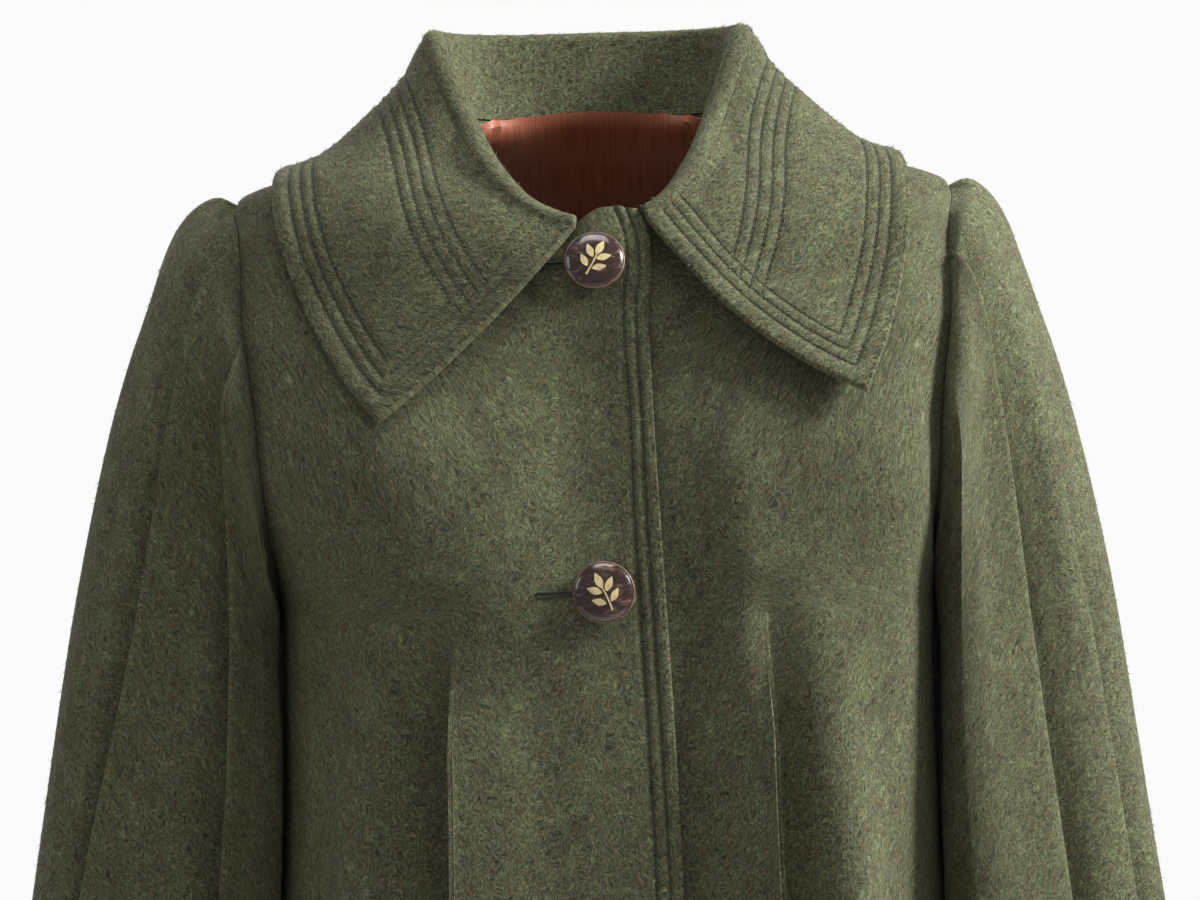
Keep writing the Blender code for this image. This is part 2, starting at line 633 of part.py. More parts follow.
add_cloth("front_right", right_front * (-1, 1, 1), loden, WALL, flip=True)
add_cloth("front_left", left_front, loden, WALL)
add_cloth("back", back, loden, WALL, flip=True)
right_sleeve = sleeve_grid(right_body, FOLDS_RIGHT, SLEEVE_SPREAD_RIGHT, SLEEVE_PUFF_RIGHT)
add_cloth("sleeve_right", right_sleeve * (-1, 1, 1), loden, WALL, closed=True)
left_sleeve = sleeve_grid(left_body, FOLDS_LEFT, SLEEVE_SPREAD_LEFT, SLEEVE_PUFF_LEFT)
add_cloth("sleeve_left", left_sleeve, loden, WALL, closed=True, flip=True)
add_cloth("collar", collar_grid(right_body, left_body), loden, COLLAR_WALL, offset=0)
add_cloth("back_neck_lining", lining_grid(), lining, LINING_WALL, flip=True)
for number, height in enumerate(BUTTON_HEIGHTS, 1):
    add_button(f"button_{number}", height, right_front, horn)
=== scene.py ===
"""A loden coat dressed for the studio: cloth, nap, topstitching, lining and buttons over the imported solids.

Metres. X runs to the wearer's left, -Y is the front and Z is up. Every cloth piece repeats the surface that
its solid was drawn on, with finer points, rolled folds, creases and sewn rows.
"""

import math
from collections import namedtuple
from functools import lru_cache

import bpy
import numpy as np
from mathutils import Matrix, Vector
from mathutils.bvhtree import BVHTree


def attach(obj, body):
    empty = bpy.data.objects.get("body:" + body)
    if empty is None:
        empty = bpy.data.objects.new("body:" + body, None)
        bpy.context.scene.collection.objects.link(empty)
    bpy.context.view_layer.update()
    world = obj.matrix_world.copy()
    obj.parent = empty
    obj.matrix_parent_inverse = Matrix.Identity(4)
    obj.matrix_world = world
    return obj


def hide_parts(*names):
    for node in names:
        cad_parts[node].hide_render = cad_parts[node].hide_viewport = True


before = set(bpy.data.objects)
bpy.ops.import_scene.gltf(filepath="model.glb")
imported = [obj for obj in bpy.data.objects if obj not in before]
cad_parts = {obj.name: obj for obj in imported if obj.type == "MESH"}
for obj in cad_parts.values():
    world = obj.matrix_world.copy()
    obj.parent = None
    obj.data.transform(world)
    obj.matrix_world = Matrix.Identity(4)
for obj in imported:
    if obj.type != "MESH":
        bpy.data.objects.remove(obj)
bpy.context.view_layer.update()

bl_info = {
    "name": "Loden coat",
    "version": (1, 0, 0),
    "blender": (4, 5, 0),
    "location": "View3D > Sidebar > Coat",
    "description": "Dresses the solids of a loden coat with cloth, nap, stitching, lining and buttons",
    "category": "Object",
}

MM = 0.001

# The cut, as in the solids, and how the worn cloth leaves it
SEAM_GAP = 0.6 * MM
SIDE_NECK_X = 72 * MM
SHOULDER_TIP_Z = -45 * MM
FRONT_NECK_Z, BACK_NECK_Z = -75 * MM, 4 * MM
LAP_PEAK, LAP_RISE, LAP_RISE_DEPTH = 13 * MM, (-18 * MM, 4 * MM), 60 * MM
LAP_CORNER, LAP_CORNER_X = 5 * MM, 10 * MM
UNDERARM_Z, CHEST_Z, HEM_Z = -265 * MM, -350 * MM, -1050 * MM
ROUNDNESS = 2.4
ARMHOLE_PULL = 0.9
UNDERLAP, UNDERLAP_EASE = 3.2 * MM, (41 * MM, 72 * MM)
FOLD_WIDTH = 1.5 * MM
# Rows of points on the shoulder and beside the armhole
FRONT_ROWS, BACK_ROWS = (18, 34), (16, 32)

Level = namedtuple("Level", "z half_width front back side")
LEVELS = [
    Level(*(MM * size for size in row))
    for row in (
        (4, 88, 8, 62, 5), (0, 72, 10, 64, 5), (-26, 141, 33, 77, 5), (-45, 192, 60, 88, 5),
        (-66, 195, 81, 97, 5), (-88, 196, 89, 104, 5), (-130, 195, 105, 112, 5), (-190, 189, 121, 116, 5),
        (-265, 172, 131, 116, 5), (-350, 173, 141, 119, 5), (-425, 177, 150, 128, 4),
        (-640, 211, 172, 170, 2), (-840, 262, 200, 212, 0), (-1050, 318, 232, 256, 0),
    )
]
Armhole = namedtuple("Armhole", "z front_x back_x")
ARMHOLE = [
    Armhole(*(MM * size for size in row))
    for row in (
        (-45, 192, 192), (-90, 181, 181), (-130, 174, 175), (-190, 166, 169), (-235, 169, 170),
        (-265, 172, 172),
    )
]
LAP_EDGE = [
    (MM * z, MM * x)
    for z, x in ((-62, 18), (-92, 28), (-118, 25), (-169, 26), (-396, 33), (-1050, 37))
]
Pleat = namedtuple("Pleat", "x x_hem top full depth depth_hem")
PLEAT_RIGHT = Pleat(74 * MM, 92 * MM, -266 * MM, -335 * MM, 17 * MM, 28 * MM)
PLEAT_LEFT = Pleat(78 * MM, 96 * MM, -260 * MM, -330 * MM, 17 * MM, 28 * MM)
PLEAT_LIFT, PLEAT_UNDER, PLEAT_REACH, PLEAT_EDGE_REACH = 0.22, 0.30, 26 * MM, 34 * MM
# The columns of a front from its pleat to the side seam, as shares of that way
PLEAT_OUTER = np.append(np.linspace(0, 0.985, 48) ** 1.1, 1.0)
ROLL_REACH, ROLL_FULL_Z = 21 * MM, -440 * MM
# Both fronts fall back between the two sides of the chest
VALLEY, VALLEY_X, VALLEY_LEFT, VALLEY_RIGHT = 5 * MM, 6 * MM, 42 * MM, 66 * MM
VALLEY_TOP, VALLEY_FULL, VALLEY_FADES, VALLEY_END = -95 * MM, -170 * MM, -330 * MM, -620 * MM
# How the released cloth hangs beside each pleat: the roll's height, how far it is from the pleat, and the extra
# lift of the pleat's edge
HANG = {"front_right": (20 * MM, 42 * MM, 5 * MM), "front_left": (22 * MM, 30 * MM, 14 * MM)}
BACK_WAVES, BACK_WAVE_TOP, BACK_WAVE_DEPTH = 4.5, -330 * MM, 17 * MM

CUFF_Z, SLEEVE_RING_Z = -640 * MM, -290 * MM
SLEEVE_ROUNDNESS, SLEEVE_RADIUS, SLEEVE_SKEW = 2.3, 85 * MM, 0.10
SLEEVE_CLEAR = 7.0 * MM
SLEEVE_SPREAD_RIGHT, SLEEVE_SPREAD_LEFT = 0.018, -0.028
SLEEVE_PUFF_RIGHT, SLEEVE_PUFF_LEFT = 1.3, 1.0
ARMHOLE_GAP, HEAD_CROWDING = 0.4 * MM, 2.2
# Worn cloth stands out before the armhole
FILL, FILL_REACH, FILL_WAY = 15 * MM, 60 * MM, np.array([0.3, -0.95, 0])
FILL_TOP, FILL_FULL = SHOULDER_TIP_Z - 10 * MM, -125 * MM
FILL_FADES, FILL_END = -185 * MM, UNDERARM_Z + 2 * MM
# The sleeve head puffs out over its crown, between these turns, and down to these distances from the seam
HEAD_PUFF, CROWN, PUFF_DROPS = 4.5 * MM, ((-150, -60), (95, 150)), (12 * MM, (20 * MM, 90 * MM))
# The seam allowance of a sleeve: how far it turns in and back, and how far its edge is rounded
SLEEVE_TUCK, SLEEVE_TUCK_DEPTH, SLEEVE_TUCK_EDGE = 4.5 * MM, 6 * MM, 0.12 * MM
ARMHOLE_MIDDLE = np.array([0, 5 * MM, -155 * MM])
Ring = namedtuple("Ring", "z inner outer front back")
SLEEVE_RINGS = [
    Ring(*(MM * size for size in row))
    for row in (
        (-290, 162, 280, -94, 100), (-350, 159, 290, -104, 106), (-425, 161, 302, -112, 112),
        (-640, 200, 340, -126, 126),
    )
]
Head = namedtuple("Head", "turn out forward up hang")
SLEEVE_HEAD = [
    Head(turn, *(MM * size for size in sizes))
    for turn, *sizes in (
        (0, 38, 0, 14, 110), (50, 24, 18, -8, 100), (90, 11, 32, -18, 80), (120, 5, 34, -26, 60),
        (150, 3, 20, -22, 30), (180, 1, 0, -8, 9),
    )
]
Fold = namedtuple("Fold", "turn top depth depth_cuff")
BACK_FOLDS = ((-64, -80, 7, 15), (-112, -120, 7, 14))
FOLDS_RIGHT, FOLDS_LEFT = (
    [Fold(turn, *(MM * size for size in sizes)) for turn, *sizes in (*rows, *BACK_FOLDS)]
    for rows in (
        ((77, -62, 18, 32), (112, -115, 16, 28)),
        ((51, -235, 13, 24), (87, -60, 17, 30)),
    )
)
# The pressed front of each sleeve: how far it stands before the round form (or behind it) at turns about the
# arm. The left one has a sharp ridge where the two slopes meet.
PRESSED = {
    "sleeve_right": ((20, 0), (77, -17), (112, -11), (150, 0)),
    "sleeve_left": ((15, 0), (51, -20), (87, -20), (126, 12), (141, -9), (156, -10), (175, 0)),
}
RIDGES = {"sleeve_right": (), "sleeve_left": (126,)}
PRESSED_TOP, PRESSED_MORE, PRESSED_WAY = -95 * MM, 0.25, np.array([0.12, -0.99, 0])
# The fold that leans outwards on its way down, and by how many degrees
LEAN = {"sleeve_right": (77, -13), "sleeve_left": (87, -4)}
LEAN_REACH, LEAN_TOP, LEAN_FULL = 28, -200 * MM, -420 * MM
FOLD_LIFT, FOLD_SINK, FOLD_UNDER = {"sleeve_right": 0.3, "sleeve_left": 0.12}, 0.6, 0.25
LIFT_REACH, SINK_REACH, FOLD_RISE = 9 * MM, 22 * MM, 48 * MM

ROLL_RADIUS, COLLAR_CLEAR, COLLAR_LEAST_CLEAR = 4.6 * MM, 2.3 * MM, 1.2 * MM
STAND_ROWS, ROLL_ROWS, FALL_ROWS = 6, 10, 86
FIRST_FALL = STAND_ROWS + ROLL_ROWS + 1
SHOULDER_SHARE, COLLAR_SMOOTHING = 0.45, 60
# Where the collar comes too close to the body: how far off that is looked for, and how often the patch that
# moves out is widened and then softened
PATCH_REACH, PATCH_WIDENED, PATCH_SOFTENED = 12 * MM, 5, 12
LEAF_BOW, LEAF_RAISE = {"right": 0.0, "left": 9 * MM}, {"right": 8 * MM, "left": 17 * MM}
NECK_INSET, END_INSET = 3 * MM, 4.4 * MM
COLLAR_END = {"right": 10 * MM, "left": 26 * MM}
Station = namedtuple("Station", "share out up right_x right_z right_lift left_x left_z left_lift")
COLLAR = [
    Station(share, *(MM * size for size in sizes))
    for share, *sizes in (
        (0.00, 8, 44, 0, -65, 5, 0, -65, 5),
        (0.20, 9, 44, 84, -62, 5, 82, -61, 5),
        (0.34, 10, 42, 142, -48, 5, 139, -46, 5),
        (0.45, 8, 37, 166, -29, 3, 162, -27, 3),
        (0.64, -4, 12, 157, -82, 7, 160, -74, 9),
        (0.83, -5, 6, 131, -136, 8, 147, -121, 15),
        (1.00, 0, 1, 107, -167, 10, 130, -157, 19),
    )
]
LINING_HALF_WIDTH, LINING_END_Z, LINING_GAP = 100 * MM, -150 * MM, 1.0 * MM
LINING_TOP_SHARE, LINING_RAISE, LINING_FLARE = 0.97, 5.5 * MM, 60 * MM
LINING_UNDER, LINING_DIP = 1 * MM, 6 * MM
RIPPLE, RIPPLE_LEAST, RIPPLE_WAVE, RIPPLE_SWAY, RIPPLE_DROP = 0.35 * MM, -0.2 * MM, 9 * MM, 31 * MM, 60 * MM
BUTTON_HEIGHTS = [MM * z for z in (-90, -252, -421, -590, -759)]
BUTTON_TURNS = (-28, 24, -10, 31, 8)  # how far each one is turned about its middle, in degrees
BUTTON_GAP = 0.4 * MM

# Creases, in millimetres: where each starts and ends, how far it stands out (or sinks) and how wide it is. On
# the fronts and the back the places are x towards the side seam and height; on the sleeves they are turn about
# the arm, in degrees, and height. They fade over these widths at the lap, the seams and the sleeve heads.
CREASE_LAP, CREASE_SEAM, CREASE_HEAD = 26 * MM, 22 * MM, 40 * MM
CREASES = {
    "front_right": (
        (4, -120, 12, -232, -4.2, 24), (34, -290, 26, -420, -2.0, 17), (52, -205, 62, -262, 1.4, 16),
        (74, -258, 78, -292, -1.6, 9), (62, -165, 68, -275, 4.0, 44), (100, -155, 108, -285, 9.0, 34),
        (104, -250, 128, -420, 2.2, 15), (150, -215, 134, -330, -2.4, 15), (120, -160, 96, -235, 1.5, 22),
        (60, -560, 48, -860, 2.6, 22), (150, -520, 190, -900, -3.4, 26), (205, -640, 246, -1010, 3.2, 24),
        (20, -640, 14, -960, -1.8, 20),
    ),
    "front_left": (
        (-4, -120, -12, -232, -5.4, 26), (10, -140, 16, -235, -1.6, 18), (42, -240, 40, -520, -9.0, 20),
        (78, -252, 82, -286, -1.6, 9), (76, -165, 84, -275, 4.0, 50), (122, -150, 128, -290, 7.0, 32),
        (100, -238, 126, -430, 2.6, 16), (62, -190, 74, -250, 1.6, 18), (146, -190, 150, -420, 8.0, 22),
        (112, -150, 92, -215, 1.2, 20), (62, -600, 50, -900, 2.2, 24), (146, -500, 182, -860, -3.0, 24),
        (214, -700, 252, -1030, 3.4, 25), (24, -700, 20, -1000, -1.6, 18),
    ),
    "back": (
        (26, -150, 20, -330, -2.4, 24), (92, -120, 70, -260, 1.8, 22), (136, -190, 118, -360, -2.6, 20),
        (60, -330, 66, -560, 2.2, 22), (160, -420, 196, -800, -2.8, 26), (14, -520, 10, -830, 2.2, 24),
        (110, -640, 128, -980, 2.4, 26),
    ),
    "sleeve_right": (
        (20, -90, 12, -360, 3.0, 15), (46, -110, 44, -430, -2.6, 13), (-24, -110, -20, -420, -2.8, 16),
        (-92, -140, -86, -470, 2.4, 14), (95, -150, 96, -400, -1.8, 9), (60, -330, 62, -620, 2.4, 12),
        (8, -420, 4, -630, -2.6, 16), (-140, -220, -136, -560, 2.0, 14),
    ),
    "sleeve_left": (
        (22, -80, 16, -330, 2.6, 14), (4, -130, -2, -430, -2.6, 15), (68, -100, 70, -300, -2.0, 9),
        (-30, -100, -24, -400, 2.4, 15), (-90, -150, -86, -480, -2.2, 14), (104, -190, 103, -420, -1.6, 8),
        (32, -380, 30, -630, 2.2, 13), (-140, -230, -134, -570, 2.0, 14),
    ),
}
FRONT, BACK = -1, 1

# Rows of topstitching, in millimetres from the edge: three beside the collar's edges, and four in its middle,
# each with how far from the front edge it ends
ROW_STEP = 6.5
OUTER_ROWS = (9.0, 15.5, 22.0)
MIDDLE_ROWS = ((84.5, 22.0), (78.0, 15.5), (71.5, 9.0), (65.0, 22.0))
LAP_ROWS = (5.6, 12.1)
ROW_SOFT, ROW_END, ROW_WORN, ROW_FAR = 1.9 * MM, 1.5 * MM, 0.4, 60 * MM
SWEEP, SWEEP_SMOOTHING = (26 * MM, 60 * MM), 60
EDGE_SWELL, EDGE_SWELL_AT, EDGE_SWELL_REACH = 0.45 * MM, 4.5 * MM, 3.5 * MM
# The rolled lap edge: ridges beside its sewn rows, as place, width in millimetres and share of their height
LAP_RIDGES, LAP_RIDGE = ((2.6, 2.4, 1.0), (8.8, 2.0, 0.45)), 0.7 * MM
LAP_ROW_DEPTH, LAP_ROW_SOFT = 0.75 * MM, 1.5 * MM
# Buttonholes, each a slit of painted shade: over which x each end fades, how soft the slit is, and where
# its threads lie
HOLE_STARTS, HOLE_ENDS, HOLE_SOFT = (-4 * MM, -2 * MM), (30 * MM, 33 * MM), 2.2 * MM
HOLE_THREADS, HOLE_BANK = np.arange(-4, 32.5, 1.0) * MM, 0.95 * MM
# How many loose fibres each piece carries, apart from those added at its edges
FIBRES = {"front": 18000, "back": 25000, "sleeve": 17500, "collar": 16000}
FREE_EDGE = 1.3 * MM  # how far a free edge of cloth is rounded
BELT_RADIUS, BELT_BACK = 14.45, 2.9  # the worn belt of a button, in its millimetres
# The studio, in metres: the floor's height, the camera's place, its roll in degrees and what most lamps aim at
FLOOR_Z, CAMERA_PLACE, CAMERA_ROLL, LAMP_AIM = -1.5, (0, -1.170, -0.183), -1.6, (0.0, -0.05, -0.18)


def linear(code):
    """A #rrggbb colour as linear red, green and blue."""
    shares = (int(code[i : i + 2], 16) / 255 for i in (1, 3, 5))
    return tuple(s / 12.92 if s <= 0.04045 else ((s + 0.055) / 1.055) ** 2.4 for s in shares)


class CoatSizes(bpy.types.PropertyGroup):
    """Sizes of the cloth, its nap and its stitching"""

    wall: bpy.props.FloatProperty(
        name="Cloth", description="Thickness of the coat cloth", default=2.5 * MM, unit="LENGTH"
    )
    collar_wall: bpy.props.FloatProperty(
        name="Collar", description="Thickness of the doubled collar", default=4 * MM, unit="LENGTH"
    )
    lining_wall: bpy.props.FloatProperty(
        name="Lining", description="Thickness of the lining", default=1 * MM, unit="LENGTH"
    )
    nap_length: bpy.props.FloatProperty(
        name="Nap", description="Usual length of a loose fibre", default=3.0 * MM, unit="LENGTH"
    )
    nap_width: bpy.props.FloatProperty(
        name="Fibre", description="Width of a loose fibre at its root", default=0.26 * MM, unit="LENGTH"
    )
    nap_seed: bpy.props.IntProperty(
        name="Seed", description="Start of the scatter of loose fibres", default=7
    )
    stitch: bpy.props.FloatProperty(
        name="Stitch", description="Length of one stitch with its gap", default=2.9 * MM, unit="LENGTH"
    )
    thread: bpy.props.FloatProperty(
        name="Thread", description="Thickness of the sewing thread", default=0.5 * MM, unit="LENGTH"
    )
    groove: bpy.props.FloatProperty(
        name="Groove", description="Depth of a sewn row in the collar", default=0.8 * MM, unit="LENGTH"
    )
    button: bpy.props.FloatProperty(
        name="Button", description="Radius of a button", default=15 * MM, unit="LENGTH"
    )


class CoatColours(bpy.types.PropertyGroup):
    """Colours of the cloth, lining, thread and buttons"""

    wool_dark: bpy.props.FloatVectorProperty(
        name="Wool, deep", description="Between the fibres", subtype="COLOR", default=linear("#2b2d23")
    )
    wool: bpy.props.FloatVectorProperty(
        name="Wool", description="Most of the fibres", subtype="COLOR", default=linear("#4b4f3b")
    )
    wool_light: bpy.props.FloatVectorProperty(
        name="Wool, tips", description="Tips of the fibres", subtype="COLOR", default=linear("#757a5f")
    )
    straw: bpy.props.FloatVectorProperty(
        name="Straw fleck", description="Pale fibres in the mixture", subtype="COLOR",
        default=linear("#98875a"),
    )
    rust: bpy.props.FloatVectorProperty(
        name="Rust fleck", description="Brown fibres in the mixture", subtype="COLOR",
        default=linear("#75492c"),
    )
    teal: bpy.props.FloatVectorProperty(
        name="Teal fleck", description="Blue-green fibres in the mixture", subtype="COLOR",
        default=linear("#2f4a45"),
    )
    lining: bpy.props.FloatVectorProperty(
        name="Lining", description="Satin of the lining", subtype="COLOR", default=linear("#9c5638")
    )
    thread: bpy.props.FloatVectorProperty(
        name="Thread", description="Topstitching and buttonholes", subtype="COLOR", default=linear("#27321f")
    )
    horn: bpy.props.FloatVectorProperty(
        name="Horn", description="Buttons", subtype="COLOR", default=linear("#3c2a22")
    )
    horn_vein: bpy.props.FloatVectorProperty(
        name="Horn vein", description="Marbling of the buttons", subtype="COLOR", default=linear("#8a6c5a")
    )
    inlay: bpy.props.FloatVectorProperty(
        name="Inlay", description="Sprig on each button", subtype="COLOR", default=linear("#e3cf96")
    )


def through(stations, values):
    """A smooth curve through the values, rising and falling only where they do."""
    order = np.argsort(stations)
    x, y = np.array(stations, float)[order], np.array(values, float)[order]
    step = np.diff(x)
    rise = np.diff(y) / step
    slope = np.zeros_like(y)
    before, after = rise[:-1], rise[1:]
    steady = before * after > 0
    slope[1:-1][steady] = (2 * before * after)[steady] / (before + after)[steady]
    slope[0], slope[-1] = rise[0], rise[-1]

    def at(where):
        where = np.clip(where, x[0], x[-1])
        i = np.clip(np.searchsorted(x, where, side="right") - 1, 0, len(step) - 1)
        t = (where - x[i]) / step[i]
        return (
            (1 + 2 * t) * (1 - t) ** 2 * y[i]
            + t * (1 - t) ** 2 * step[i] * slope[i]
            + t * t * (3 - 2 * t) * y[i + 1]
            + t * t * (t - 1) * step[i] * slope[i + 1]
        )

    return at


def columns(rows, key):
    """Each column of a table as a smooth curve against its key column."""
    keys = [getattr(row, key) for row in rows]
    return {
        name: through(keys, [getattr(row, name) for row in rows]) for name in rows[0]._fields if name != key
    }


LEVEL = columns(LEVELS, "z")
HOLE = columns(ARMHOLE, "z")
LAP = through(*zip(*LAP_EDGE))
RING = columns(SLEEVE_RINGS, "z")
HEAD = columns(SLEEVE_HEAD, "turn")
SEAT = columns(COLLAR, "share")


def ease(start, end, where):
    """0 up to the start, 1 from the end on, smooth between."""
    t = np.clip((where - start) / (end - start), 0, 1)
    return t * t * (3 - 2 * t)


def unit(vectors):
    """The vectors with length 1."""
    return vectors / np.maximum(np.linalg.norm(vectors, axis=-1, keepdims=True), 1e-12)


def walk(points, axis):
    """Distance walked along rows (axis 1) or columns (axis 0) of a grid."""
    steps = np.linalg.norm(np.diff(points, axis=axis), axis=-1)
    pad = [(1, 0) if axis == 0 else (0, 0), (1, 0) if axis == 1 else (0, 0)][: steps.ndim]
    return np.cumsum(np.pad(steps, pad), axis=axis)


def turn_of(x, z):
    """The turn at which the body surface has this x at a height."""
    share = np.clip(np.abs(x) / LEVEL["half_width"](z), 0, 1)
    return np.sign(x) * np.arcsin(share ** (ROUNDNESS / 2))


def on_body(turn, z, facing):
    """Points of the body surface, with x towards the side."""
    x = LEVEL["half_width"](z) * np.sign(turn) * np.abs(np.sin(turn)) ** (2 / ROUNDNESS)
    bulge = np.clip(np.cos(turn), 0, 1) ** (2 / ROUNDNESS)
    side = LEVEL["side"](z)
    depth = LEVEL["front"](z) + side if facing == FRONT else LEVEL["back"](z) - side
    return np.stack([x, side + facing * (depth * bulge + SEAM_GAP / 2), z], axis=-1)


def neckline(angle, facing):
    """Turn and height on the neckline: 0 at the middle, a quarter turn at the shoulder seam."""
    low = FRONT_NECK_Z if facing == FRONT else BACK_NECK_Z
    x, z = SIDE_NECK_X * np.sin(angle), low * np.cos(angle)
    return turn_of(x, z), z


def armhole_turn(z, facing):
    """The turn of the armhole's edge at a height."""
    return turn_of(HOLE["front_x" if facing == FRONT else "back_x"](z), z)


def armhole_line(facing, count=300):
    """The armhole's edge from the shoulder tip down."""
    z = np.linspace(SHOULDER_TIP_Z, UNDERARM_Z, count)
    return on_body(armhole_turn(z, facing), z, facing)


def along(line, shares):
    """Points at these shares of a line's length."""
    walked = walk(line, 0)
    at = np.asarray(shares) * walked[-1]
    return np.stack([np.interp(at, walked, line[:, axis]) for axis in range(line.shape[1])], axis=-1)


def level_turns(z, start, end, facing, shares):
    """Turns at these shares of the way round one level, from the start turn to the end turn."""
    turns = np.linspace(start, end, 160)
    line = on_body(turns, np.full_like(turns, z), facing)
    walked = walk(line, 0)
    return np.interp(np.asarray(shares) * walked[-1], walked, turns)


def body_grid(facing, breaks, shoulder_rows, arm_rows, lower_z):
    """Rows of points from the neckline down to the hem.

    breaks holds (x at a height, shares of the way to the next break), from the front edge or the middle of
    the back outwards; the last stretch ends at the side seam.
    """
    starts = [start for start, _ in breaks]

    def row_turns(z):
        ends = [turn_of(start(z), z) for start in starts] + [math.pi / 2]
        return np.concatenate(
            [level_turns(z, ends[i], ends[i + 1], facing, shares) for i, (_, shares) in enumerate(breaks)]
        )

    bottom_turn = row_turns(UNDERARM_Z)
    bottom = on_body(bottom_turn, np.full_like(bottom_turn, UNDERARM_Z), facing)
    walked = walk(bottom, 0)
    across = walked / walked[-1]

    first_x = starts[0](FRONT_NECK_Z if facing == FRONT else BACK_NECK_Z)
    angle = math.asin(first_x / SIDE_NECK_X)
    top_turn, top_z = neckline(angle + (math.pi / 2 - angle) * across, facing)

    # The rows of the solid come first, 6 on the shoulder and 8 on the armhole; finer rows are then drawn
    # through them.
    arm_z = along(armhole_line(facing), np.linspace(0, 1, 9))[1:, 2]
    right_z = np.concatenate([np.linspace(0, SHOULDER_TIP_Z, 7), arm_z])
    down = np.linspace(0, 1, 15)
    right_turn = np.where(right_z > SHOULDER_TIP_Z, math.pi / 2, armhole_turn(right_z, facing))
    left_z = top_z[0] + (UNDERARM_Z - top_z[0]) * down
    left_turn = turn_of(starts[0](left_z), left_z)

    u, v = across[None, :] ** ARMHOLE_PULL, down[:, None]
    top_shape = (top_turn - top_turn[0]) / (top_turn[-1] - top_turn[0])
    bottom_shape = (bottom_turn - bottom_turn[0]) / (bottom_turn[-1] - bottom_turn[0])
    turn = left_turn[:, None] + (right_turn - left_turn)[:, None] * ((1 - v) * top_shape + v * bottom_shape)
    z = (
        (1 - v) * (top_z - (1 - u) * top_z[0] - u * top_z[-1])
        + (1 - u) * left_z[:, None] + u * right_z[:, None]
    )
    fine = np.concatenate(
        [np.linspace(0, 6 / 14, shoulder_rows + 1), np.linspace(6 / 14, 1, arm_rows + 1)[1:]]
    )
    turn, z = (np.stack([through(down, column)(fine) for column in part.T], axis=1) for part in (turn, z))
    upper = on_body(np.minimum(turn, math.pi / 2), z, facing)
    lower = np.stack(
        [on_body(row_turns(level), np.full_like(across, level), facing) for level in lower_z[1:]]
    )
    return np.concatenate([upper, lower])


def quads_of(table):
    """The four-sided faces between the neighbours in a table of point numbers."""
    return np.stack([table[:-1, :-1], table[1:, :-1], table[1:, 1:], table[:-1, 1:]], axis=-1).reshape(-1, 4)


def surface_tree(*grids):
    """The given grids of points, each with outward faces, for finding the nearest cloth."""
    points, faces = [], []
    for grid, flip in grids:
        rows, count = grid.shape[:2]
        first = len(points)
        points.extend(map(Vector, grid.reshape(-1, 3)))
        quads = quads_of(first + np.arange(rows * count).reshape(rows, count))
        faces.extend((quads[:, ::-1] if flip else quads).tolist())
    return BVHTree.FromPolygons(points, faces)


REACH = 40 * MM  # cloth further away than this is not in the way


def clear_of(tree, points, gap):
    """The points, those nearer than the gap to the cloth moved out to it."""
    made = []
    for point in points:
        point = Vector(point)
        for _ in range(3):
            near, out, _, distance = tree.find_nearest(point)
            short = gap - (point - near).dot(out)
            if short > 0 and distance < REACH:
                point = point + out * short
        made.append(point)
    return np.array(made)


def normals(grid, closed=False):
    """Unit normals of a grid of points, facing out for rows that run down and columns that run to +X."""
    if closed:
        across = np.roll(grid, -1, axis=1) - np.roll(grid, 1, axis=1)
    else:
        across = np.gradient(grid, axis=1)
    return unit(np.cross(np.gradient(grid, axis=0), across))


def rolled(grid, column, count=8, fullness=1.35):
    """The step from one column to the next as a rolled fold: it goes on, turns back under and comes out."""
    start, end = grid[:, column], grid[:, column + 1]
    gap = np.linalg.norm(end - start, axis=1, keepdims=True) * fullness
    leave, arrive = unit(start - grid[:, column - 1]) * gap, unit(grid[:, column + 2] - end) * gap
    made = []
    for t in np.linspace(0, 1, count + 2)[1:-1]:
        made.append(
            (1 + 2 * t) * (1 - t) ** 2 * start + t * (1 - t) ** 2 * leave
            + t * t * (3 - 2 * t) * end + t * t * (t - 1) * arrive
        )
    return np.concatenate([grid[:, : column + 1], np.stack(made, axis=1), grid[:, column + 1 :]], axis=1)


def creases(name, x, z, scale=1.0):
    """How far the cloth stands out here, from the table of creases; scale turns its places into mm."""
    total = np.zeros(x.shape)
    for x_0, z_0, x_1, z_1, depth, width in np.array(CREASES[name]) * (scale, 1, scale, 1, 1, 1) * MM:
        run, drop = x_1 - x_0, z_1 - z_0
        t = ((x - x_0) * run + (z - z_0) * drop) / (run * run + drop * drop)
        aside = np.hypot(x - x_0 - t * run, z - z_0 - t * drop)
        ends = ease(-0.25, 0.3, t) * (1 - ease(0.6, 1.25, t))
        total += depth * ends * np.exp(-((aside / width) ** 2))
    return total


def fill(z):
    """How far worn cloth stands before the armhole at these heights."""
    amount = FILL * ease(FILL_TOP, FILL_FULL, z) * (1 - ease(FILL_FADES, FILL_END, z))
    return amount[..., None] * FILL_WAY


def valley(x, z):
    """How far both fronts fall back between the two sides of the chest, the same for the lapped layers."""
    shape = ease(VALLEY_TOP, VALLEY_FULL, z) * (1 - ease(VALLEY_FADES, VALLEY_END, z))
    away = x - VALLEY_X
    return VALLEY * shape * np.exp(-((away / np.where(away > 0, VALLEY_LEFT, VALLEY_RIGHT)) ** 2))


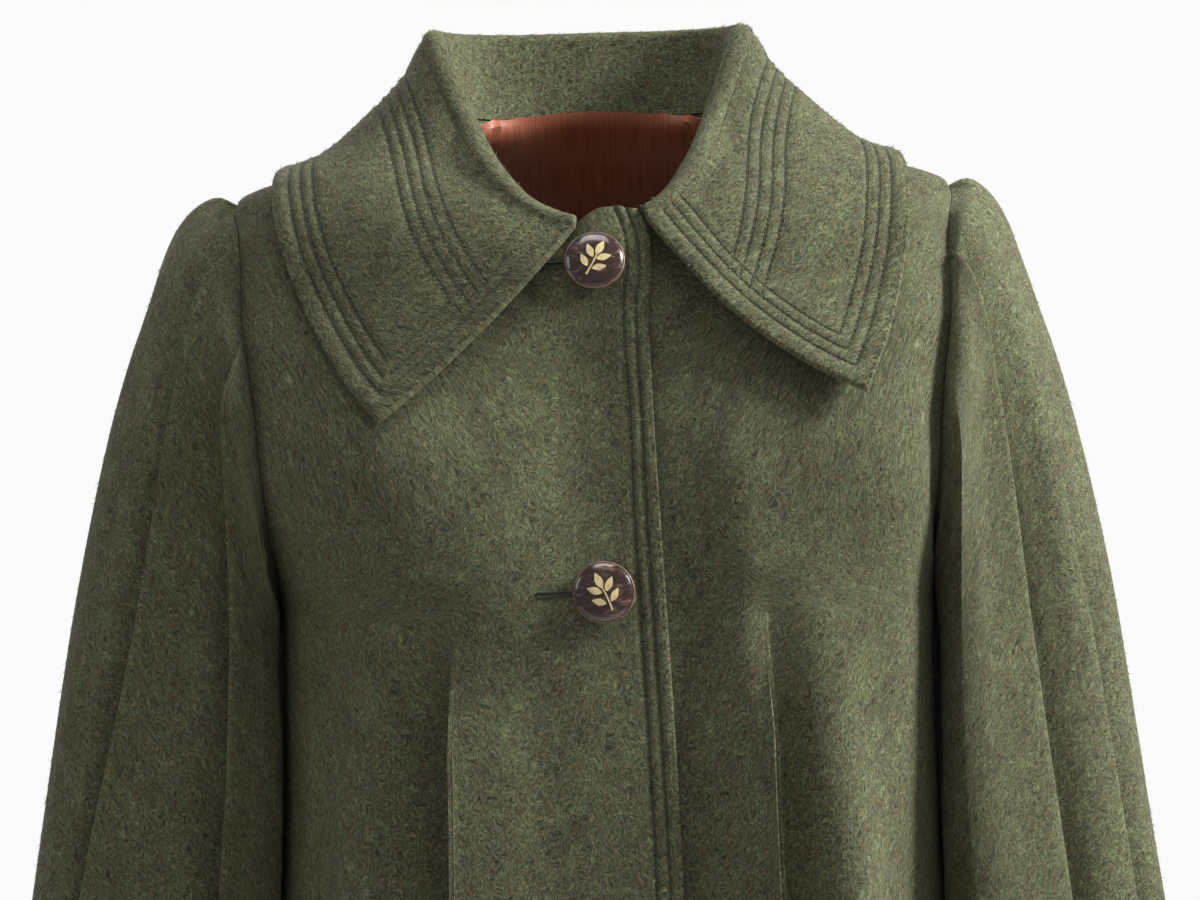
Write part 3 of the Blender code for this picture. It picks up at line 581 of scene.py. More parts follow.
def front_panel(name, pleat, tucked):
    """One front, with x towards its side seam."""

    def pleat_x(z):
        return pleat.x + (pleat.x_hem - pleat.x) * ease(pleat.full, HEM_Z, z)

    middle = np.concatenate([np.linspace(0, 0.15, 16), np.linspace(0.15, 1, 34)[1:]])
    breaks = [
        (lambda z: -LAP(z), middle),
        (lambda z: pleat_x(z) + FOLD_WIDTH, PLEAT_OUTER),
    ]
    lower_z = np.concatenate([np.linspace(UNDERARM_Z, CHEST_Z, 15), np.linspace(CHEST_Z, HEM_Z, 66)[1:]])
    grid = body_grid(FRONT, breaks, *FRONT_ROWS, lower_z)
    if not tucked:
        lap = -grid[..., 0]
        rise = LAP_PEAK * ease(*LAP_RISE, lap) - LAP_CORNER * ease(LAP_CORNER_X, LAP(FRONT_NECK_Z), lap)
        grid[..., 2] += rise * ease(FRONT_NECK_Z - LAP_RISE_DEPTH, FRONT_NECK_Z, grid[..., 2])
    z, fold, foot = grid[..., 2], len(middle) - 1, len(middle)
    walked = walk(grid, 1)
    away = walked - walked[:, foot : foot + 1]
    grid[:, fold] = grid[:, foot] + FOLD_WIDTH * unit(grid[:, fold - 1] - grid[:, foot])
    out = normals(grid)
    opened = ease(pleat.top, pleat.full, z)
    deep = opened * (pleat.depth + (pleat.depth_hem - pleat.depth) * ease(pleat.full, HEM_Z, z))
    inner = np.arange(grid.shape[1]) <= fold
    roll_height, roll_at, lift = HANG[name]
    raised = np.where(inner, PLEAT_LIFT * deep * np.exp(np.minimum(away, 0) / PLEAT_REACH), 0)
    forward = np.where(inner, lift * opened * np.exp(np.minimum(away, 0) / PLEAT_EDGE_REACH), 0)
    sunk = np.where(~inner, -(1 - PLEAT_LIFT) * deep * np.exp(-((np.maximum(away, 0) / PLEAT_REACH) ** 2)), 0)
    roll = roll_height * ease(pleat.top, ROLL_FULL_Z, z) * np.exp(-(((away - roll_at) / ROLL_REACH) ** 2))
    tuck = -UNDERLAP * (1 - ease(*UNDERLAP_EASE, grid[..., 0])) if tucked else 0
    to_seam = walked[:, -1:] - walked
    soft = creases(name, grid[..., 0], z) * ease(0, CREASE_LAP, walked) * ease(0, CREASE_SEAM, to_seam)
    made = grid + out * (raised + sunk + np.where(inner, 0, roll) + tuck + soft)[..., None]
    made[..., 1] -= forward
    made[:, foot] -= unit(grid[:, foot + 1] - grid[:, foot]) * (PLEAT_UNDER * deep[:, foot])[:, None]
    made += fill(z[:, -1:]) * np.exp(-((to_seam / FILL_REACH) ** 2))[..., None]
    made[..., 1] += valley(grid[..., 0] if tucked else -grid[..., 0], z)
    return rolled(made, fold)


def back_panel():
    """The whole back: one half with x towards its side seam, and its mirror image."""
    shares = np.append(np.linspace(0, 0.985, 48), 1.0)
    breaks = [(lambda z: 0.0 * z, shares)]
    lower_z = np.concatenate([np.linspace(UNDERARM_Z, CHEST_Z, 13), np.linspace(CHEST_Z, HEM_Z, 62)[1:]])
    grid = body_grid(BACK, breaks, *BACK_ROWS, lower_z)
    wave = np.cos(shares * math.pi * BACK_WAVES) * (1 - ease(0.86, 1.0, shares))
    depth = BACK_WAVE_DEPTH * ease(BACK_WAVE_TOP, HEM_Z, grid[..., 2])
    grid = grid - normals(grid) * (wave * depth)[..., None]
    made = np.concatenate([grid[:, :0:-1] * (-1, 1, 1), grid], axis=1)
    walked = walk(made, 1)
    to_seam = np.minimum(walked, walked[:, -1:] - walked)
    # The two halves crease a little differently.
    lean = np.where(made[..., 0] < 0, 9 * MM, 0)
    fold = creases("back", np.abs(made[..., 0]) + lean, made[..., 2] + 2.5 * lean)
    return made - normals(made) * (fold * ease(0, CREASE_SEAM, to_seam))[..., None]


def sleeve_turns(folds, ridges, spacing):
    """The turns of a sleeve's columns: even, with a close pair at each fold and a close row at each ridge."""
    pair = math.degrees(FOLD_WIDTH / 2 / SLEEVE_RADIUS)
    turns = set()
    for turn in np.arange(-180, 180, spacing):
        if all(abs(turn - at) > 0.75 * spacing for at in (*(fold.turn for fold in folds), *ridges)):
            turns.add(float(turn))
    for fold in folds:
        turns.update(fold.turn + aside for aside in (-0.6 * spacing, -pair, pair, 0.6 * spacing))
    for ridge in ridges:
        turns.update(ridge + aside for aside in (-2.4, -1.4, -0.7, 0.0, 0.7, 1.4, 2.4))
    return np.array(sorted(turns))


def leaned(name, turns, z):
    """The turns at a height, those about the leaning fold moved with it."""
    at, lean = LEAN[name]
    return turns + lean * np.exp(-(((turns - at) / LEAN_REACH) ** 2)) * ease(LEAN_TOP, LEAN_FULL, z)


def sleeve_ring(turns, z, spread):
    """The points of a level ring of the sleeve at these turns about the arm."""
    inner, outer, front, back = (RING[name](z) for name in ("inner", "outer", "front", "back"))
    outer = outer + spread * (SHOULDER_TIP_Z - z)
    rad = np.radians(turns)
    power = 2 / SLEEVE_ROUNDNESS
    wide = np.sign(np.cos(rad)) * np.abs(np.cos(rad)) ** power
    deep = np.sign(np.sin(rad)) * np.abs(np.sin(rad)) ** power
    middle, half = (front + back) / 2, (back - front) / 2
    y = middle - half * deep
    x = (inner + outer) / 2 + (outer - inner) / 2 * wide + SLEEVE_SKEW * (y - middle) * (1 - wide) / 2
    return np.stack([x, y, np.full_like(x, z)], axis=-1)


def sleeve_panel(name, side, folds, spread, puff, spacing=4, head_rows=34, arm_rows=38):
    """Rows of points from the armhole down to the cuff, on the wearer's left; each row is closed."""
    body, turns = cut()[f"{side}_body"], sleeve_turns(folds, RIDGES[name], spacing)
    share = np.abs(turns) / 180
    share = share**HEAD_CROWDING + 0.12 * share * (1 - share) ** 3
    front_line, back_line = (along(line, share) for line in cut()[f"{side}_armhole"])
    starts = np.where(turns[:, None] >= 0, front_line, back_line)
    starts[:, 1] = np.where(np.abs(turns) % 180 < 1e-6, LEVEL["side"](starts[:, 2]), starts[:, 1])
    starts[:, 0] += ARMHOLE_GAP

    def ring_at(z):
        return sleeve_ring(leaned(name, turns, z), z, spread)

    ring = ring_at(SLEEVE_RING_Z)
    below = unit(ring_at(SLEEVE_RING_Z - 40 * MM) - ring)
    out, forward, up, hang = (HEAD[part](np.abs(turns)) for part in ("out", "forward", "up", "hang"))
    leave = np.stack([out * puff, -forward * np.sign(turns), up], axis=-1)
    t = np.linspace(0, 1, head_rows + 1)[:, None, None] ** 1.15
    head = (
        (1 - t) ** 3 * starts + 3 * t * (1 - t) ** 2 * (starts + leave)
        + 3 * t * t * (1 - t) * (ring - below * hang[:, None]) + t**3 * ring
    )
    arm = [ring_at(z) for z in np.linspace(SLEEVE_RING_Z, CUFF_Z, arm_rows + 1)[1:]]
    grid = np.concatenate([head, np.array(arm)])
    for row in range(1, len(grid)):
        grid[row] = clear_of(body, grid[row], SLEEVE_CLEAR * min(1, row / head_rows))
    return pleated_sleeve(name, grid, turns, folds)


def pleated_sleeve(name, grid, turns, folds):
    """The folds laid into a sleeve: the inner piece lies over the outer one at each."""
    out = -normals(grid, closed=True)
    z = grid[..., 2]
    drop = walk(grid, 0)
    # Creases hold their table's width in millimetres at the sleeve's usual radius.
    round_arm = np.broadcast_to(np.radians(turns) * SLEEVE_RADIUS, z.shape)
    offset = creases(name, round_arm, z, math.radians(SLEEVE_RADIUS / MM)) * ease(0, CREASE_HEAD, drop)
    crown = ease(*CROWN[0], turns) * (1 - ease(*CROWN[1], turns))
    offset += HEAD_PUFF * crown * ease(0, PUFF_DROPS[0], drop) * (1 - ease(*PUFF_DROPS[1], drop))
    shift = np.zeros(grid.shape)
    steps = np.linalg.norm(np.roll(grid, -1, axis=1) - grid, axis=2)
    walked = np.concatenate([np.zeros((len(grid), 1)), np.cumsum(steps[:, :-1], axis=1)], axis=1)
    pairs = []
    for fold in folds:
        way = 1 if fold.turn > 0 else -1
        at = int(np.searchsorted(turns, fold.turn))
        edge, foot = (at, at - 1) if way > 0 else (at - 1, at)
        deep = ease(0, FOLD_RISE / 2, drop) * ease(fold.top, fold.top - FOLD_RISE, z) * (
            fold.depth + (fold.depth_cuff - fold.depth) * ease(SLEEVE_RING_Z, CUFF_Z, z)
        )
        inwards = way * (walked - (walked[:, at : at + 1] + walked[:, at - 1 : at]) / 2)
        lift = FOLD_LIFT[name] * np.exp(-((inwards / LIFT_REACH) ** 2))
        sink = FOLD_SINK * np.exp(-((inwards / SINK_REACH) ** 2))
        offset += deep * np.where(inwards > 0, lift, -sink)
        shift[:, foot] += unit(grid[:, edge] - grid[:, foot]) * (FOLD_UNDER * deep[:, foot])[:, None]
        pairs.append(at - 1)
    pressed = MM * np.interp(turns, *zip(*PRESSED[name])) * ease(PRESSED_TOP, SLEEVE_RING_Z, z)
    pressed *= 1 + PRESSED_MORE * ease(SLEEVE_RING_Z, CUFF_Z, z)
    shift += pressed[..., None] * PRESSED_WAY
    made = grid + out * offset[..., None] + shift
    for column in sorted(pairs, reverse=True):
        made = rolled(made, column)
    return made


def neck_path(end_x, count=240):
    """The neckline of one half, from the middle of the back to the collar's end, with x outwards."""
    last = math.asin(end_x / SIDE_NECK_X)
    back = on_body(*neckline(np.linspace(0, math.pi / 2, count), BACK), BACK)
    front = on_body(*neckline(np.linspace(math.pi / 2, last, count), FRONT), FRONT)
    return np.concatenate([back, front[1:]])


def half_collar(body, side, shares, wall, cloth_wall):
    """Rows of one half of the collar's middle surface, from the neck seam over the roll to the edge."""
    path = neck_path(COLLAR_END[side])
    base = along(path, shares)
    ahead = along(path, np.clip(shares + 0.01, 0, 1)) - along(path, np.clip(shares - 0.01, 0, 1))
    outward = unit(np.stack([-ahead[:, 1], ahead[:, 0], np.zeros(len(shares))], axis=-1))
    up = np.array([0, 0, 1.0])
    inset = cloth_wall / 2 + NECK_INSET * ease(0.4, 0.7, shares)
    inset += (END_INSET - NECK_INSET) * ease(0.85, 0.97, shares)
    base = base + up * (cloth_wall / 2 + SEAM_GAP) - outward * inset[:, None]
    top = base + outward * SEAT["out"](shares)[:, None] + up * SEAT["up"](shares)[:, None]
    edge_x, edge_z, lift = (SEAT[f"{side}_{name}"](shares) for name in ("x", "z", "lift"))
    facing = np.where(shares < SHOULDER_SHARE, BACK, FRONT)
    turn = turn_of(edge_x, edge_z)
    edge = np.where(facing[:, None] == BACK, on_body(turn, edge_z, BACK), on_body(turn, edge_z, FRONT))
    edge[:, 0] = edge_x
    edge[:, 1] += facing * lift * ease(0.0, 0.10, np.abs(shares - SHOULDER_SHARE))
    rows = [base + (top - base) * t for t in np.linspace(0, 1, STAND_ROWS + 1)]
    for angle in np.linspace(0, math.pi, ROLL_ROWS + 1)[1:]:
        rows.append(top + outward * ROLL_RADIUS * (1 - math.cos(angle)) + up * ROLL_RADIUS * math.sin(angle))
    start = rows[-1]
    drop = start - up * 0.30 * np.linalg.norm(edge - start, axis=1, keepdims=True)
    swell = ease(0.28, SHOULDER_SHARE, shares) * (1 - ease(SHOULDER_SHARE, 0.62, shares))
    down = np.linspace(0, 1, FALL_ROWS + 1)[1:]
    for t in down:
        straight = start + (edge - start) * t
        bent = (1 - t) ** 2 * start + 2 * t * (1 - t) * (drop * 0.5 + (start + edge) * 0.25) + t * t * edge
        point = bent + (straight - bent) * (0.55 + 0.45 * swell)[:, None]
        point[:, 2] -= LEAF_BOW[side] * 4 * t * (1 - t) * ease(0.6, 1.0, shares)
        point[:, 1] -= LEAF_RAISE[side] * ease(0.72, 1.0, shares) * ease(0.0, 0.25, t) * (1 - 0.6 * t)
        rows.append(clear_of(body, point, (wall / 2 + COLLAR_CLEAR) * ease(0.0, 0.12, t)))
    made = relaxed(np.array(rows), FIRST_FALL, COLLAR_SMOOTHING)
    # Where the smoothing brought it too close, a wider patch moves out again.
    need = (wall / 2 + COLLAR_LEAST_CLEAR) * ease(0.0, 0.12, down)
    short = np.zeros(made.shape[:2])
    for r, row in enumerate(made[FIRST_FALL:]):
        for c, point in enumerate(row):
            near, out, _, distance = body.find_nearest(Vector(point))
            if distance < PATCH_REACH:
                short[FIRST_FALL + r, c] = max(need[r] - (Vector(point) - near).dot(out), 0)
    for again in range(PATCH_WIDENED + PATCH_SOFTENED):
        wide = np.pad(short, 1, mode="edge")
        beside = (wide[:-2, 1:-1], wide[2:, 1:-1], wide[1:-1, :-2], wide[1:-1, 2:])
        short = np.max([short, *beside], axis=0) if again < PATCH_WIDENED else sum(beside) / 4
    short *= ease(FIRST_FALL - 4, FIRST_FALL + 6, np.arange(len(made)))[:, None]
    return made - normals(made) * short[..., None]


def relaxed(half, first, times):
    """Half a collar with its fall smoothed; its edges keep their lines."""
    made = half.copy()
    share = 0.6 * ease(first - 1, first + 16, np.arange(first, len(made) - 1))[:, None]
    for _ in range(times):
        wide = np.concatenate([made[:, 1:2] * (-1, 1, 1), made], axis=1)
        down, across = (wide[:-2] + wide[2:]) / 2, (wide[:, :-2] + wide[:, 2:]) / 2
        edge = (made[first - 1 : -2, -1] + made[first + 1 :, -1]) / 2
        moved = (down[first - 1 :, 1:-1] + across[first:-1]) / 2 - made[first:-1, :-1]
        made[first:-1, :-1] += share[..., None] * moved
        made[-1, :-1] += 0.3 * (across[-1] - made[-1, :-1])
        made[first:-1, -1] += share * (edge - made[first:-1, -1])
    return made


def lining_panel(wall):
    """A strip inside the back, from just under the neckline down."""
    x = np.linspace(-1, 1, 81)
    rows = []
    for t in np.linspace(0, 1, 57):
        half = min(LINING_HALF_WIDTH, SIDE_NECK_X * LINING_TOP_SHARE + LINING_FLARE * t)
        z = BACK_NECK_Z - LINING_UNDER - LINING_DIP * (x * half / SIDE_NECK_X) ** 2
        z = z + (LINING_END_Z - z) * t + LINING_RAISE * (1 - t) ** 8 * (1 - 0.7 * x * x)
        rows.append(on_body(turn_of(x * half, z), z, BACK))
    grid = np.array(rows)
    return grid + normals(grid) * (wall + LINING_GAP)


@lru_cache(maxsize=1)
def cut():
    """Every body panel once, and the surfaces that sleeves and collar keep clear of."""
    right = front_panel("front_right", PLEAT_RIGHT, tucked=False)
    left = front_panel("front_left", PLEAT_LEFT, tucked=True)
    back = back_panel()
    made = {"right": right, "left": left, "back": back}
    for side, front in (("right", right), ("left", left)):
        made[f"{side}_body"] = surface_tree((front, False), (back, True))
        made[f"{side}_armhole"] = tuple(
            panel[shoulder : shoulder + arm + 1, -1]
            for panel, (shoulder, arm) in ((front, FRONT_ROWS), (back, BACK_ROWS))
        )
    return made


def near(points, line, chunk=2000):
    """Distance from each point to a line of points."""
    flat = points.reshape(-1, 3)
    found = [
        np.sqrt(((flat[i : i + chunk, None] - line[None]) ** 2).sum(axis=2).min(axis=1))
        for i in range(0, len(flat), chunk)
    ]
    return np.concatenate(found).reshape(points.shape[:-1])


def trace(field, level, *layers):
    """Where a field that falls along each column passes a level: what the layers hold there."""
    kept = []
    for c in range(field.shape[1]):
        line = field[:, c]
        hits = np.nonzero((line[:-1] >= level) & (line[1:] < level))[0]
        if len(hits):
            r = hits[-1]
            t = (line[r] - level) / (line[r] - line[r + 1])
            kept.append([layer[r, c] * (1 - t) + layer[r + 1, c] * t for layer in layers])
    return [np.array(values) for values in zip(*kept)] if kept else []


def add_mesh(name, points, faces, look):
    """A new object of these points and faces, smooth, with one material."""
    mesh = bpy.data.meshes.new(name)
    mesh.from_pydata(points.tolist(), [], faces.tolist())
    mesh.shade_smooth()
    mesh.materials.append(look)
    made = bpy.data.objects.new(name, mesh)
    bpy.context.scene.collection.objects.link(made)
    return made


def faced(quads, points, want):
    """The faces, turned over if they look away from the wanted directions at their first corners."""
    a, b, d = (points[quads[:, i]] for i in (0, 1, 3))
    return quads[:, ::-1] if (np.cross(b - a, d - a) * want).sum() < 0 else quads


def shell(name, grid, out, wall, look, nap_turn, bulge, closed=False, groove=None, edges_at=None, beyond=0):
    """A grid of points as cloth of one thickness, its outer face on the grid and its rims rounded."""
    rows, count = grid.shape[:2]
    behind = grid - out * wall
    index = np.arange(rows * count).reshape(rows, count)
    # Each corner's place on the flat cloth, turned so that its second number runs along the nap.
    wide = np.concatenate([grid, grid[:, :1]], axis=1) if closed else grid
    u, v = walk(wide, 1), walk(wide, 0)
    if beyond:
        # Columns beyond a pleat count from the far seam, so the cloth in the pleat doesn't slant the nap.
        u[:, -beyond:] += u[:1, -1:] - u[:, -1:]
    else:
        u = u - u[:, u.shape[1] // 2 : u.shape[1] // 2 + 1]
    cos, sin = math.cos(math.radians(nap_turn)), math.sin(math.radians(nap_turn))
    flat = np.stack([u * cos - v * sin, u * sin + v * cos], axis=-1)
    flat_index = np.arange(flat.shape[0] * flat.shape[1]).reshape(flat.shape[:2])
    if closed:
        index = np.concatenate([index, index[:, :1]], axis=1)
    points = [grid.reshape(-1, 3), behind.reshape(-1, 3)]
    outer, outer_flat = quads_of(index), quads_of(flat_index)
    normal = out.reshape(-1, 3)
    if (faced(outer, points[0], normal[outer[:, 0]]) != outer).any():
        outer, outer_flat = outer[:, ::-1], outer_flat[:, ::-1]
    faces, corners = [outer, outer[:, ::-1] + rows * count], [outer_flat, outer_flat[:, ::-1]]

    # The free edges, each as a loop of places in the grid with the direction that leaves the cloth.
    ways = np.zeros(grid.shape)
    ways[0] += unit(grid[0] - grid[1])
    ways[-1] += unit(grid[-1] - grid[-2])
    if closed:
        edges = [[(r, c) for c in range(count)] for r in (0, rows - 1)]
    else:
        ways[:, 0] += unit(grid[:, 0] - grid[:, 1])
        ways[:, -1] += unit(grid[:, -1] - grid[:, -2])
        edges = [
            [(0, c) for c in range(count - 1)] + [(r, count - 1) for r in range(rows - 1)]
            + [(rows - 1, c) for c in range(count - 1, 0, -1)] + [(r, 0) for r in range(rows - 1, 0, -1)]
        ]
    total = 2 * rows * count
    for edge in edges:
        r, c = np.array(edge).T
        way, side = unit(ways[r, c]), out[r, c]
        way = unit(way - side * (way * side).sum(axis=1, keepdims=True))
        middle = (grid[r, c] + behind[r, c]) / 2
        swell = bulge(r, c)[:, None] if callable(bulge) else np.full((len(edge), 1), bulge)
        rings = [r * count + c]
        sewn_edge = swell < 0.5 * MM
        for angle in np.radians((45, 90, 135)):
            over = np.where(sewn_edge, 0.98 * np.sign(round(math.cos(angle), 6)), math.cos(angle))
            along_way = np.where(sewn_edge, 1.0, math.sin(angle))
            points.append(middle + side * (wall / 2 * over) + way * (swell * along_way))
            rings.append(total + np.arange(len(edge)))
            total += len(edge)
        rings.append(r * count + c + rows * count)
        here = flat_index[r, c]
        there = np.roll(here, -1)
        if closed:
            there[-1] = flat_index[r[0], count]
        every = np.concatenate(points)
        for first, second in zip(rings[:-1], rings[1:]):
            strip = np.stack([first, np.roll(first, -1), np.roll(second, -1), second], axis=-1)
            strip_flat = np.stack([here, there, there, here], axis=-1)
            if (faced(strip, every, way) != strip).any():
                strip, strip_flat = strip[:, ::-1], strip_flat[:, ::-1]
            faces.append(strip)
            corners.append(strip_flat)
    points, faces, corners = np.concatenate(points), np.concatenate(faces), np.concatenate(corners)
    made = add_mesh(name, points, faces, look)
    made.data.set_sharp_from_angle(angle=math.radians(62))
    layer = made.data.uv_layers.new(name="Nap")
    layer.data.foreach_set("uv", flat.reshape(-1, 2)[corners.reshape(-1)].astype(np.float32).reshape(-1))
    if groove is not None:
        # Groove marks where the shader paints shade: the buttonhole slits.
        deep = np.zeros(len(points), np.float32)
        deep[: rows * count] = groove.reshape(-1)
        made.data.attributes.new("Groove", "FLOAT", "POINT").data.foreach_set("value", deep)
    if edges_at is not None:
        # Rows holds each point's distances from the sewn edges, from which the shader paints shade along the
        # rows.
        apart = np.zeros((len(points), 3), np.float32)
        apart[: len(normal)] = edges_at.reshape(-1, 3)
        kept = made.data.attributes.new("Rows", "FLOAT_VECTOR", "POINT")
        kept.data.foreach_set("vector", apart.reshape(-1))
    return made


def loose_fibres(name, grid, out, look, nap_turn, count, closed=False, edges=()):
    """Loose fibres of the nap as one mesh: thin three-sided needles that lean along the cloth.

    edges holds (0 for a row or 1 for a column, which one, how many more fibres stand there).
    """
    sizes, colours = bpy.context.scene.coat_sizes, bpy.context.scene.coat_colours
    rng = np.random.default_rng(sizes.nap_seed + len(name) * 31 + count)
    if closed:
        grid, out = (np.concatenate([part, part[:, :1]], axis=1) for part in (grid, out))
    across, down = unit(np.gradient(grid, axis=1)), unit(np.gradient(grid, axis=0))
    area = np.linalg.norm(
        np.cross(grid[1:, :-1] - grid[:-1, :-1], grid[:-1, 1:] - grid[:-1, :-1]), axis=2
    ).reshape(-1)
    picked = rng.choice(len(area), count, p=area / area.sum())
    for axis, line, extra in edges:
        places = np.mgrid[0 : grid.shape[0] - 1, 0 : grid.shape[1] - 1][axis]
        picked = np.concatenate([picked, rng.choice(np.nonzero(places.reshape(-1) == line)[0], extra)])
    total = len(picked)
    r, c = np.divmod(picked, grid.shape[1] - 1)
    s, t = rng.random((2, total, 1))

    def inside(part):
        return (
            part[r, c] * (1 - s) * (1 - t) + part[r, c + 1] * (1 - s) * t
            + part[r + 1, c] * s * (1 - t) + part[r + 1, c + 1] * s * t
        )

    root, side = inside(grid), unit(inside(out))
    turn = math.radians(nap_turn) + rng.normal(0, 0.55, (total, 1))
    lie = unit(inside(down) * np.cos(turn) + inside(across) * np.sin(turn))
    lift = np.radians(rng.uniform(5, 30, (total, 1)))
    way = unit(lie * np.cos(lift) + side * np.sin(lift))
    length = sizes.nap_length * np.clip(rng.lognormal(0, 0.35, (total, 1)), 0.5, 2.0)
    thick = sizes.nap_width * rng.uniform(0.7, 1.3, (total, 1))
    first = unit(np.cross(way, side))
    second = np.cross(way, first)
    root = root - side * 0.15 * MM
    corner = [
        root + thick * 0.58 * (first * math.cos(angle) + second * math.sin(angle))
        for angle in (0, 2 * math.pi / 3, 4 * math.pi / 3)
    ]
    points = np.stack([*corner, root + way * length], axis=1).reshape(-1, 3)
    base = 4 * np.arange(total)[:, None]
    faces = np.concatenate([base + part for part in ((0, 2, 1), (0, 1, 3), (1, 2, 3), (2, 0, 3))])
    made = add_mesh(name, points, faces, look)
    palette = np.array(
        [colours.wool_dark, colours.wool, colours.wool_light, colours.straw, colours.rust, colours.teal]
    )
    tone = palette[rng.choice(6, total, p=(0.16, 0.46, 0.26, 0.05, 0.035, 0.035))]
    tone = tone * rng.uniform(0.75, 1.25, (total, 1))
    tint = np.concatenate([np.repeat(tone, 4, axis=0), np.ones((total * 4, 1))], axis=1).astype(np.float32)
    made.data.attributes.new("Fibre", "FLOAT_COLOR", "POINT").data.foreach_set("color", tint.reshape(-1))
    return made


def spindles(centres, ways, outs, lengths, radius):
    """Points and faces of short threads with pointed ends, 12 points each."""
    ways = unit(ways)
    outs = unit(outs - ways * (outs * ways).sum(axis=1, keepdims=True))
    sides = np.cross(ways, outs)
    lengths = np.broadcast_to(lengths, (len(centres),))[:, None]
    ring = [2 * math.pi * i / 5 for i in range(5)]
    made = [centres - ways * lengths / 2 - outs * radius * 1.2]
    for share in (-0.27, 0.27):
        for angle in ring:
            made.append(
                centres + ways * lengths * share
                + radius * (sides * math.cos(angle) + outs * math.sin(angle))
            )
    made.append(centres + ways * lengths / 2 - outs * radius * 1.2)
    points = np.stack(made, axis=1).reshape(-1, 3)
    one = []
    for i in range(5):
        n = (i + 1) % 5
        one += [(0, 1 + n, 1 + i), (1 + i, 1 + n, 6 + n), (1 + i, 6 + n, 6 + i), (6 + i, 6 + n, 11)]
    faces = (12 * np.arange(len(centres))[:, None, None] + np.array(one)).reshape(-1, 3)
    tri = points[faces[:20]]
    facing = np.cross(tri[:, 1] - tri[:, 0], tri[:, 2] - tri[:, 0])
    outward = (facing * (tri.mean(axis=1) - centres[0])).sum() > 0
    return points, faces if outward else faces[:, ::-1]


def sewn(name, lines, look):
    """Topstitching along lines of points with their outward directions, as one mesh."""
    sizes = bpy.context.scene.coat_sizes
    points, faces, total = [], [], 0
    for line, out in lines:
        walked = walk(line, 0)
        at = np.arange(sizes.stitch * 0.6, walked[-1] - sizes.stitch * 0.5, sizes.stitch)
        if len(at) < 2:
            continue
        spots = np.stack([np.interp(at, walked, line[:, i]) for i in range(3)], axis=-1)
        sides = unit(np.stack([np.interp(at, walked, out[:, i]) for i in range(3)], axis=-1))
        made, made_faces = spindles(
            spots + sides * sizes.thread * 0.25, np.gradient(spots, axis=0), sides, sizes.stitch * 0.86,
            sizes.thread / 2,
        )
        points.append(made)
        faces.append(made_faces + total)
        total += len(made)
    return add_mesh(name, np.concatenate(points), np.concatenate(faces), look)


def add(tree, kind, links=None, **settings):
    """A new node with its settings; links gives each input a value or another node's output."""
    made = tree.nodes.new(kind)
    for key, value in settings.items():
        setattr(made, key, value)
    for socket, value in (links or {}).items():
        if isinstance(value, bpy.types.NodeSocket):
            tree.links.new(value, made.inputs[socket])
        else:
            made.inputs[socket].default_value = value
    return made


def new_material(name, **sockets):
    """A material, its node tree and its shader with these constant inputs."""
    made = bpy.data.materials.new(name)
    made.use_nodes = True
    shader = made.node_tree.nodes["Principled BSDF"]
    for socket, value in sockets.items():
        shader.inputs[socket.replace("_", " ")].default_value = value
    return made, made.node_tree, shader


def opaque(colour):
    """A colour with full alpha."""
    return (*colour, 1.0)


